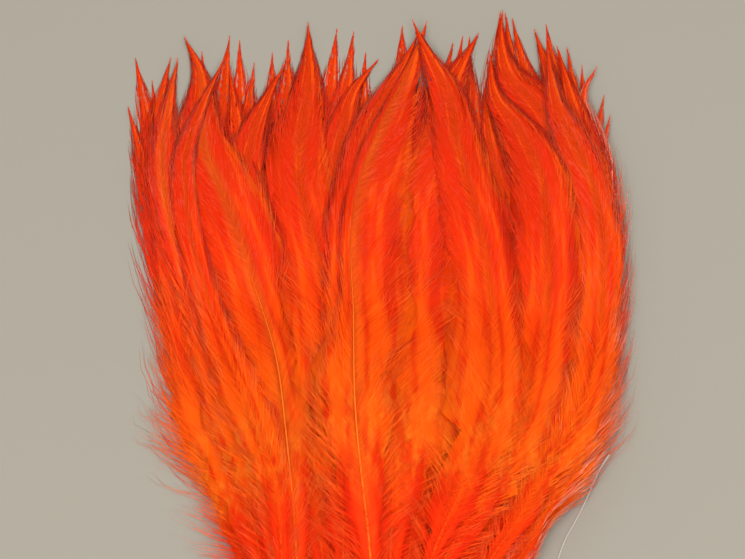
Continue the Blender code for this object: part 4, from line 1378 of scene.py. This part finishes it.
class FeatherColours(GroupTree):
    """The shared group that colours a feather by its place on the vane.

    The bands go along the feather in shares of its length, apart from those of a barb's end, of
    the vane's width and of the patterns.
    """

    COLOURS = ("Tip", "Vane", "Deep", "Fluff", "Clump", "Shaft", "Quill", "Butt", "Frost", "Wisp")
    NUMBERS = ("Frosted", "Roughness")
    TO_TIP = Band(0.55, 1.0)
    ABOVE_FLUFF = Band(0.38, 0.68)
    INTO_FLUFF = Band(0.20, 0.36)
    ABOVE_CLUMPS = Band(0.30, 0.50)
    FOOT = Band(0.28, 0.18)
    ABOVE_QUILL = Band(0.08, 0.16)
    FOOT_SHARE = 0.38
    # Where along the feather the painted glints lie
    INTO_FROST = Band(0.50, 0.66)
    ABOVE_FROST = Band(0.86, 1.0)
    ABOVE_BUTT = Band(0.0, 0.035)
    ABOVE_BARE_QUILL = Band(0.055, 0.115)
    UPPER_STEM = Band(0.50, 0.68)
    STEM_SHARE = 0.25
    STEEPER_BARBS = Band(0.2, 0.6)
    BARB_END = Band(0.35, 1.0, 0.5)
    # Where along a barb the painted sheen of its end lies
    PALE_BARB_END = Band(0.55, 0.95, 0.9)
    # The painted highlight along the shaft: a lighter band on the vane beside it, in the shaft's paler
    # colour
    FROM_SHAFT = Band(0.0, 0.34)
    BY_SHAFT_SHARE = 0.34
    BARB_RUN = (0.07, 0.19)
    BARB_BEND = 0.57
    WIDEST = 0.98
    GRAIN = Noise(1.0, 3.0, 0.6)
    GRAIN_FINENESS = (150.0, 2.0, 3.0)
    GRAIN_BAND = Band(0.3, 0.7)
    GRAIN_LIGHT = (0.97, 1.02)
    LOCK_LIGHT = (0.98, 1.01)
    WARM_GRAIN = Band(0.5, 0.8, 0.15)
    ROUGH_GRAIN = 0.25
    SHAFT_ROUGHNESS = -0.15
    PATCH = Noise(1.0, 2.0)
    PATCH_FINENESS = (3.0, 6.0, 0.0)
    PATCH_BAND = Band(0.3, 0.7)
    PATCH_LIGHT = (0.92, 1.03)
    DEEP_PATCH = Band(0.52, 0.36, 0.9)
    PALE_PATCH = Band(0.51, 0.66, 0.60)
    CLUMPS = Noise(520.0, 3.0, 0.60)
    CLUMP_FINENESS = (1.0, 0.30, 0.3)
    CLUMP_BAND = Band(0.42, 0.70)
    # The noise that streaks the painted glints along the barbs
    FROST = Noise(1.3, 2.0)
    FROST_FINENESS = (1.0, 1.2, 1.0)
    FROST_SHIFT = (7.3, 2.1, 5.7)
    FROST_BAND = Band(0.48, 0.68)

    def __init__(self) -> None:
        """Builds the group."""
        inputs = dict.fromkeys(self.COLOURS, "Color") | dict.fromkeys(self.NUMBERS, "Float")
        super().__init__("feather_colour", inputs, {"Colour": "Color", "Roughness": "Float"})
        self.place = self.attribute("place", "Vector")
        self.kind, self.tone = self.attribute("down", "Fac"), self.attribute("tone", "Fac")
        self.across, self.station, self.t = self.split(self.place)
        self.side = self.math("ABSOLUTE", self.across)
        self.grain_at = self.along_barbs()
        self.grain = self.noise(self.grain_at, self.GRAIN)
        self.patch = self.noise(self.vector("MULTIPLY", self.place, self.PATCH_FINENESS), self.PATCH)
        dye = self.dye()
        is_shaft = self.math("GREATER_THAN", self.kind, SHAFT_FROM)
        self.feed(self.result["Colour"], self.blend(is_shaft, self.barb(dye), self.stem(dye)))
        rough = self.scaled(self.minus(self.grain, 0.5), self.ROUGH_GRAIN, self.given["Roughness"])
        rough = self.plus(rough, self.times(is_shaft, self.SHAFT_ROUGHNESS))
        self.feed(self.result["Roughness"], rough)

    def attribute(self, name: str, output: str) -> Any:
        """An attribute of the feather's points."""
        return self.node("ShaderNodeAttribute", attribute_name=name).outputs[output]

    def along_barbs(self) -> Any:
        """Where on the vane a barb starts, so that a pattern over these places runs along the barbs.

        Returns:
            The places.
        """
        inner = self.rest(self.math("MINIMUM", self.side, self.WIDEST))
        run = self.rest(self.math("POWER", inner, self.BARB_BEND))
        slant = self.mix(self.ramp(self.station, self.STEEPER_BARBS), *self.BARB_RUN)
        root = self.minus(self.station, self.times(slant, run))
        along, across, lock = self.GRAIN_FINENESS
        return self.join(self.times(root, along), self.times(self.across, across),
                         self.times(self.tone, lock))

    def dye(self) -> Any:
        """The colour: a darker tip, partly the dye and partly painted shade, vane and fluff, patches, a
        painted highlight by the shaft, clumps in the fluff, and the redder foot.

        Returns:
            The colour's socket.
        """
        given, ramp, blend, station = self.given, self.ramp, self.blend, self.station
        in_fluff = self.times(self.rest(ramp(station, self.ABOVE_FLUFF)), ramp(station, self.INTO_FLUFF))
        # Towards the tip: partly the dye, partly painted shade
        colour = blend(ramp(station, self.TO_TIP), given["Vane"], given["Tip"])
        colour = blend(in_fluff, colour, given["Fluff"])
        colour = blend(ramp(self.patch, self.DEEP_PATCH), colour, given["Deep"])
        colour = blend(ramp(self.patch, self.PALE_PATCH), colour, given["Fluff"])
        # Painted highlight: the vane goes over into the shaft's paler colour close beside it
        by_shaft = self.times(self.rest(ramp(self.side, self.FROM_SHAFT)), self.BY_SHAFT_SHARE)
        colour = blend(by_shaft, colour, given["Shaft"])
        spot = self.node("ShaderNodeTexCoord").outputs["Object"]
        clump = self.noise(self.vector("MULTIPLY", spot, self.CLUMP_FINENESS), self.CLUMPS)
        low_fluff = self.times(in_fluff, self.rest(ramp(station, self.ABOVE_CLUMPS)))
        colour = blend(self.times(ramp(clump, self.CLUMP_BAND), low_fluff), colour, given["Clump"])
        foot = self.times(ramp(station, self.FOOT), ramp(station, self.ABOVE_QUILL), self.FOOT_SHARE)
        return blend(foot, colour, given["Deep"])

    def barb(self, dye: Any) -> Any:
        """The colour on the barbs: streaks along them, painted glints, paler ends on the downy barbs, and a
        painted sheen on the ends of glinting ones.

        Args:
            dye: the dye's colour.

        Returns:
            The colour's socket.
        """
        given, ramp = self.given, self.ramp
        light = self.times(self.mix(ramp(self.grain, self.GRAIN_BAND), *self.GRAIN_LIGHT),
                           self.mix(self.tone, *self.LOCK_LIGHT),
                           self.mix(ramp(self.patch, self.PATCH_BAND), *self.PATCH_LIGHT))
        streaked = self.node("ShaderNodeHueSaturation", {"Color": dye, "Value": light}).outputs[0]
        # Painted glints: pale streaks along the barbs, in the middle of the feather
        frost_at = self.vector("MULTIPLY", self.grain_at, self.FROST_FINENESS)
        frost = self.noise(self.vector("ADD", frost_at, self.FROST_SHIFT), self.FROST)
        middle = self.times(ramp(self.station, self.INTO_FROST),
                            self.rest(ramp(self.station, self.ABOVE_FROST)))
        frost = self.times(ramp(frost, self.FROST_BAND), middle, given["Frosted"])
        barb_end = self.times(ramp(self.t, self.BARB_END), self.kind)
        # Painted sheen: pale barb ends on the glinting feathers
        pale_end = self.times(ramp(self.t, self.PALE_BARB_END), given["Frosted"])
        colour = self.blend(ramp(self.grain, self.WARM_GRAIN), streaked, given["Fluff"])
        # The painted glints over the streaked colour
        colour = self.blend(frost, colour, given["Frost"])
        colour = self.blend(barb_end, colour, given["Clump"])
        return self.blend(pale_end, colour, given["Wisp"])

    def stem(self, dye: Any) -> Any:
        """The shaft's colour: cut end, bare quill, and the shaft, nearer to the dye towards the tip.

        Args:
            dye: the dye's colour.

        Returns:
            The colour's socket.
        """
        given, ramp, station = self.given, self.ramp, self.station
        dyed = self.blend(self.STEM_SHARE, dye, given["Shaft"])
        stem = self.blend(ramp(station, self.UPPER_STEM), given["Shaft"], dyed)
        stem = self.blend(ramp(station, self.ABOVE_BARE_QUILL), given["Quill"], stem)
        return self.blend(ramp(station, self.ABOVE_BUTT), given["Butt"], stem)


@dataclass
class FeatherBunch:
    """All the feathers, each grown on the chart of its own solid."""

    BAKE_MAP = "OFBake"
    WORKING = ("side", "root", "ahead", "pull", "reach", "lift", "base_lift", "phase", "wave", "bob",
               "curls", "girth", "roll", "long", "cross", "t", "rib", "edge", "around", "station",
               "centre", "chart_up", "spread")

    layout: StrungLayout
    top_from: int = 72
    bottom_below: int = 29
    edge_fill: float = 0.6
    vane_segments: int = 4
    down_segments: int = 6
    barb_width: float = 0.19 * MM
    down_width: float = 0.11 * MM
    over_shaft: float = 0.24
    beside_shaft: float = 0.04
    bare_rise: float = 1.3 * MM
    quill_radius: float = 0.42 * MM
    seed: int = 40
    seed_step: int = 100

    def show(self, hackle: Hackle) -> Show:
        """How much of a feather is seen, by its place in the pile.

        Args:
            hackle: its row of the table.

        Returns:
            How much of it is seen.
        """
        if hackle.fluff_fill <= self.edge_fill:
            return Show.EDGE
        if hackle.lay >= self.top_from:
            return Show.TOP
        return Show.BOTTOM if hackle.lay < self.bottom_below else Show.BETWEEN

    def build(self) -> list:
        """Grows every feather.

        Returns:
            The feathers' objects.
        """
        tree = HackleTree(BarbRowTree(BarbPathTree()))
        colours = FeatherColours()
        slots = self.layout.slots()
        return [self.grow(k + 1, hackle, slots[k], tree, colours) for k, hackle in enumerate(HACKLES)]

    def grow(self, number: int, hackle: Hackle, across: float, tree: HackleTree,
             colours: FeatherColours) -> bpy.types.Object:
        """Grows one feather and puts it in place of its node.

        Args:
            number: the feather's number, from 1.
            hackle: its row of the table.
            across: how far across the strip its quill lies.
            tree: the tree that grows it.
            colours: the shared group that colours it.

        Returns:
            The feather's object.
        """
        chart = VaneChart(number, hackle, across, self.layout)
        body = chart.mesh_object()
        web = Web(chart).mesh_object()
        vane_count, down_count = self.show(hackle).value
        finish = DyedFeather.of(number, hackle).material(colours)
        modifier = body.modifiers.new("grow", "NODES")
        tree.set_on(modifier, {
            "Length": chart.length, "Vane Count": vane_count, "Down Count": down_count,
            "Vane Segments": self.vane_segments, "Down Segments": self.down_segments,
            "Vane Width": self.barb_width, "Down Width": self.down_width,
            "Cross": self.beside_shaft if hackle.bare_shaft else self.over_shaft,
            "Shaft Rise": self.bare_rise if hackle.bare_shaft else 0.0,
            "Quill Radius": self.quill_radius, "Ragged": hackle.ragged,
            "Seed": self.seed + self.seed_step * number, "Web": web, "Finish": finish})
        piece = made_mesh(body, f"hackle_{number:02d}")
        bpy.data.objects.remove(web, do_unlink=True)
        self.map_for_colours(piece.data)
        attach(piece, "root")
        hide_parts(f"feather_{number:02d}")
        log.info("%s: %d faces", piece.name, len(piece.data.polygons))
        return piece

    def map_for_colours(self, mesh: bpy.types.Mesh) -> None:
        """Lays the feather's map: vanes by their place on the chart, the shaft in a strip beside them.

        Args:
            mesh: the feather's mesh.
        """
        count = len(mesh.vertices)
        place, kind = np.empty(count * 3), np.empty(count)
        mesh.attributes["place"].data.foreach_get("vector", place)
        mesh.attributes["down"].data.foreach_get("value", kind)
        across, station = place.reshape(-1, 3)[:, :2].T
        share = np.clip((across / GRID.beyond + 1) / 2, 0, 1)
        u = GRID.left_edge + share * (GRID.right_edge - GRID.left_edge)
        u = np.where(kind > SHAFT_FROM, GRID.shaft_strip + across * GRID.strip_half, u)
        v = GRID.map_margin + (1 - 2 * GRID.map_margin) * np.clip(station, 0, 1)
        corner = np.empty(len(mesh.loops), dtype=np.int32)
        mesh.loops.foreach_get("vertex_index", corner)
        layer = mesh.uv_layers.new(name=self.BAKE_MAP)
        layer.data.foreach_set("uv", np.column_stack([u, v])[corner].ravel())
        for name in self.WORKING:
            if name in mesh.attributes:
                mesh.attributes.remove(mesh.attributes[name])
        for old in [layer for layer in mesh.uv_layers if layer.name != self.BAKE_MAP]:
            mesh.uv_layers.remove(old)


@dataclass(frozen=True)
class SewingThread:
    """The finish of the two-ply sewing thread."""

    name: str = "sewing_thread"
    white: tuple = (0.40, 0.36, 0.32, 1.0)
    tinged: tuple = (0.46, 0.26, 0.20, 1.0)
    patches: Noise = Noise(160.0, 3.0)
    dyed: Band = Band(0.5, 0.75, 0.6)
    fibres: Noise = Noise(9000.0, 2.0)
    fibre_height: float = 0.05 * MM
    fibre_strength: float = 0.3
    roughness: float = 0.7
    sheen: float = 0.3

    def material(self) -> bpy.types.Material:
        """Off-white cotton, tinged in patches by the dye.

        Returns:
            The material.
        """
        material = bpy.data.materials.new(self.name)
        material.use_nodes = True
        maker = TreeMaker(material.node_tree)
        shader = material.node_tree.nodes["Principled BSDF"]
        spot = maker.node("ShaderNodeTexCoord").outputs["Object"]
        dye = maker.ramp(maker.noise(spot, self.patches), self.dyed, "LINEAR")
        maker.feed(shader.inputs["Base Color"], maker.blend(dye, self.white, self.tinged))
        fibres = {"Height": maker.noise(spot, self.fibres), "Strength": self.fibre_strength,
                  "Distance": self.fibre_height}
        maker.feed(shader.inputs["Normal"], maker.node("ShaderNodeBump", fibres).outputs[0])
        shader.inputs["Roughness"].default_value = self.roughness
        shader.inputs["Sheen Weight"].default_value = self.sheen
        return material


class ThreadTree(GeometryTree):
    """A two-ply thread along a curve."""

    WAIST = 0.58

    def __init__(self) -> None:
        """Builds the tree."""
        super().__init__("two_ply", {"Geometry": "Geometry", "Radius": "Float", "Twist Pitch": "Float",
                                     "Step": "Float", "Sides": "Int", "Finish": "Material"},
                         {"Geometry": "Geometry"})
        given = self.given
        line = self.node("GeometryNodeResampleCurve", mode="LENGTH")
        self.feed(line.inputs["Curve"], given["Geometry"])
        self.feed(self.pick(line.inputs, "Length"), given["Step"])
        run = self.node("GeometryNodeSplineParameter").outputs["Length"]
        turn = self.times(self.over(run, given["Twist Pitch"]), math.tau)
        line = self.out("GeometryNodeSetCurveTilt", {"Curve": line.outputs[0], "Tilt": turn})
        ring = self.out("GeometryNodeCurvePrimitiveCircle", {"Resolution": given["Sides"], "Radius": 1.0})
        x, y, _ = self.split(self.out("GeometryNodeInputPosition"))
        reach = self.times(self.mix(self.times(x, x), self.WAIST, 1.0), given["Radius"])
        place = self.join(self.times(x, reach), self.times(y, reach), 0.0)
        ring = self.out("GeometryNodeSetPosition", {"Geometry": ring, "Position": place})
        tube = self.out("GeometryNodeCurveToMesh",
                        {"Curve": line, "Profile Curve": ring, "Fill Caps": True})
        self.feed(self.result["Geometry"], self.smooth(tube, given["Finish"]))


@dataclass
class Threads:
    """The two sewing threads, their knots and the loose tail."""

    layout: StrungLayout
    radius: float = 0.28 * MM
    rows: tuple = (5.0 * MM, 6.6 * MM)
    floor_clearance: float = 0.02 * MM
    upper_quill_floor: float = 2.25 * MM
    gap: float = 0.3 * MM
    crown: float = 0.25 * MM
    steps: tuple = (-1.0, -0.72, -0.25, 0.25, 0.72, 1.0)
    knot_radius: float = 1.1 * MM
    knot_beyond: float = 0.6 * MM
    into_knot: float = 0.35 * MM
    knot_turns: float = 3.2
    knot_length: float = 1.7 * MM
    knot_points: int = 160
    coil_points: int = 64
    coil_ends: float = 0.72
    back_strand: tuple = ((0.42, 0.9), (0.1, 0.35), (-0.25, -0.2), (-0.5, -0.8))
    to_tail: float = 1.13
    binding_points: int = 240
    twist_pitch: float = 1.5 * MM
    ring_step: float = 0.16 * MM
    sides: int = 10

    def build_tail(self, tree: ThreadTree, finish: bpy.types.Material) -> bpy.types.Object:
        """The loose tail, on the route of its node.

        Args:
            tree: the tree that twists a thread.
            finish: the thread's material.

        Returns:
            The tail's object.
        """
        surface = Surface("string_tail")
        plan = self.layout.tail_plan()
        heights = np.array([surface.top(x, y) for x, y in plan]) - self.radius
        route = np.column_stack([plan, filled(heights)])
        piece = self.twist("thread_tail", route, tree, finish)
        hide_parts("string_tail")
        return piece

    def binding_route(self, row: float, starts_over: bool) -> list:
        """A thread that goes over and under the groups of quills in turn.

        Args:
            row: how far above the butts it runs.
            starts_over: whether it goes over the first group.

        Returns:
            The places that it goes through, from the left knot to the right one.
        """
        layout = self.layout
        y = layout.view.centre_y + row
        low = self.radius + self.floor_clearance
        high = self.upper_quill_floor + 2 * layout.quill_radius + self.gap + self.radius
        knot = (self.knot_x() - self.into_knot, layout.view.centre_y + sum(self.rows) / 2,
                self.knot_radius + self.floor_clearance)
        points = [(layout.view.centre_x - knot[0], *knot[1:])]
        for group in range(layout.groups):
            centre = layout.group_centre(group) + layout.view.centre_x
            over = (group % 2 == 0) == starts_over
            for share in self.steps:
                height = high + self.crown * (1 - share**2) if over else low
                points.append((centre + share * layout.half_group(), y, height))
        return points + [(layout.view.centre_x + knot[0], *knot[1:])]

    def knot_x(self) -> float:
        """How far each knot lies from the strip's middle."""
        return self.layout.groups / 2 * self.layout.group_pitch + self.knot_beyond

    def twist(self, name: str, route: Any, tree: ThreadTree,
              finish: bpy.types.Material) -> bpy.types.Object:
        """Makes a two-ply thread along a route.

        Args:
            name: the piece's name.
            route: its points.
            tree: the tree that twists a thread.
            finish: its material.

        Returns:
            The thread's object, riding on the root.
        """
        curve = bpy.data.curves.new(name + "_line", "CURVE")
        curve.dimensions = "3D"
        spline = curve.splines.new("POLY")
        spline.points.add(len(route) - 1)
        for point, place in zip(spline.points, route):
            point.co = (*place, 1.0)
        line = linked(name + "_line", curve)
        modifier = line.modifiers.new("twist", "NODES")
        tree.set_on(modifier, {"Radius": self.radius, "Twist Pitch": self.twist_pitch,
                               "Step": self.ring_step, "Sides": self.sides, "Finish": finish})
        piece = made_mesh(line, name)
        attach(piece, "root")
        return piece

    def knot_route(self, side: float) -> np.ndarray:
        """The turns of a small barrel knot: close coils, one strand back over them, and a leaving end.

        Args:
            side: -1 for the left knot and 1 for the right one.

        Returns:
            The places along its thread.
        """
        x = side * self.knot_x() + self.layout.view.centre_x
        middle = self.layout.view.centre_y + sum(self.rows) / 2
        height = self.knot_radius + self.floor_clearance
        t = np.linspace(0, 1, self.coil_points)
        angle = self.knot_turns * math.tau * t
        share = self.coil_ends + (1 - self.coil_ends) * np.sin(math.pi * t)
        swell = (self.knot_radius - self.radius) * share
        along = (t - 0.5) * self.knot_length
        coil = np.column_stack([x + side * along, middle + swell * np.cos(angle),
                                height + swell * np.sin(angle)])
        over = self.knot_radius + self.radius
        back = [(x + side * self.knot_length * part, middle + over * math.sin(turn),
                 height + over * math.cos(turn)) for part, turn in self.back_strand]
        last = (x - side * self.knot_length * 0.5, middle - self.knot_radius, height)
        if side > 0:
            coil, back = coil[::-1], back[::-1]
            last = (x + self.to_tail * self.knot_length, middle, self.radius + self.floor_clearance)
        return smooth_curve(np.vstack([coil, back, [last]]), np.linspace(0, 1, self.knot_points))[0]

    def build(self, tree: ThreadTree, finish: bpy.types.Material) -> list:
        """The sewing threads and knots.

        Args:
            tree: the tree that twists a thread.
            finish: the thread's material.

        Returns:
            Their objects.
        """
        made = []
        for name, node, row, over in (("thread_upper", "string_upper", self.rows[1], True),
                                      ("thread_lower", "string_lower", self.rows[0], False)):
            route = smooth_curve(self.binding_route(row, over), np.linspace(0, 1, self.binding_points))[0]
            piece = self.twist(name, route, tree, finish)
            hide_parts(node)
            made.append(piece)
        for name, node, side in (("thread_knot_left", "string_knot_left", -1.0),
                                 ("thread_knot_right", "string_knot_right", 1.0)):
            piece = self.twist(name, self.knot_route(side), tree, finish)
            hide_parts(node)
            made.append(piece)
        for piece in made:
            log.info("%s: %d faces", piece.name, len(piece.data.polygons))
        return made


@dataclass(frozen=True)
class Lamp:
    """A soft round lamp that shines on the bunch."""

    name: str
    place: tuple
    size: float
    power: float
    colour: tuple

    def build(self) -> None:
        """Puts the lamp in the scene."""
        data = bpy.data.lights.new(self.name, "AREA")
        data.shape, data.size, data.energy, data.color = "DISK", self.size, self.power, self.colour
        lamp = linked(self.name, data)
        lamp.location = self.place
        lamp.rotation_mode = "QUATERNION"
        lamp.rotation_quaternion = Vector(self.place).to_track_quat("Z", "Y")


@dataclass
class Studio:
    """The floor, the lights and the camera."""

    view: PhotoView
    distance: float = 3.6
    sensor: float = 36.0
    aim_height: float = 6 * MM
    clip: tuple = (0.05, 20.0)
    floor_half: float = 1.5
    floor_colour: tuple = (0.24, 0.223, 0.185, 1.0)
    floor_roughness: float = 0.7
    lamps: tuple = (Lamp("key", (0.02, -0.41, 1.00), 0.80, 13.6, (1.0, 0.99, 0.97)),
                    Lamp("fill", (0.25, 0.40, 1.0), 0.60, 2.5, (1.0, 0.98, 0.95)))
    sky_colour: tuple = (1.0, 0.98, 0.95, 1.0)
    sky_strength: float = 0.66

    def camera(self) -> bpy.types.Object:
        """The camera at the photograph's angle, framing what it frames.

        Returns:
            The camera.
        """
        view = self.view
        x, y = view.on_table(((view.columns - 1) / 2, (view.rows - 1) / 2), self.aim_height)
        aim = Vector((x, y, self.aim_height))
        back = Vector((0.0, -math.cos(view.look_down), math.sin(view.look_down)))
        data = bpy.data.cameras.new("camera")
        data.sensor_width = self.sensor
        data.lens = self.sensor * self.distance / (view.columns / view.pixels_per_mm * MM)
        data.clip_start, data.clip_end = self.clip
        camera = linked("camera", data)
        camera.location = aim + back * self.distance
        camera.rotation_mode = "QUATERNION"
        camera.rotation_quaternion = (-back).to_track_quat("-Z", "Y")
        bpy.context.scene.camera = camera
        return camera

    def build(self) -> None:
        """The floor, lamps, world and view."""
        mesh = bpy.data.meshes.new("floor")
        h = self.floor_half
        mesh.from_pydata([(-h, -h, 0), (h, -h, 0), (h, h, 0), (-h, h, 0)], [], [(0, 1, 2, 3)])
        floor = linked("floor", mesh)
        material = bpy.data.materials.new("floor")
        material.use_nodes = True
        shader = material.node_tree.nodes["Principled BSDF"]
        shader.inputs["Base Color"].default_value = self.floor_colour
        shader.inputs["Roughness"].default_value = self.floor_roughness
        mesh.materials.append(material)
        for lamp in self.lamps:
            lamp.build()
        world = bpy.data.worlds.new("studio")
        world.use_nodes = True
        sky = world.node_tree.nodes["Background"].inputs
        sky["Color"].default_value = self.sky_colour
        sky["Strength"].default_value = self.sky_strength
        bpy.context.scene.world = world
        bpy.context.scene.view_settings.view_transform = "Standard"


def main() -> None:
    """Builds the whole dressed bunch."""
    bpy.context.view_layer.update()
    view = PhotoView()
    layout = StrungLayout(view)
    studio = Studio(view)
    studio.camera()
    thread_tree = ThreadTree()
    thread_finish = SewingThread().material()
    threads = Threads(layout)
    threads.build_tail(thread_tree, thread_finish)
    threads.build(thread_tree, thread_finish)
    feathers = FeatherBunch(layout).build()
    total = sum(len(p.vertices) - 2 for piece in feathers for p in piece.data.polygons)
    log.info("%d feathers, %d triangles", len(feathers), total)
    studio.build()


if __name__ == "__main__":
    main()
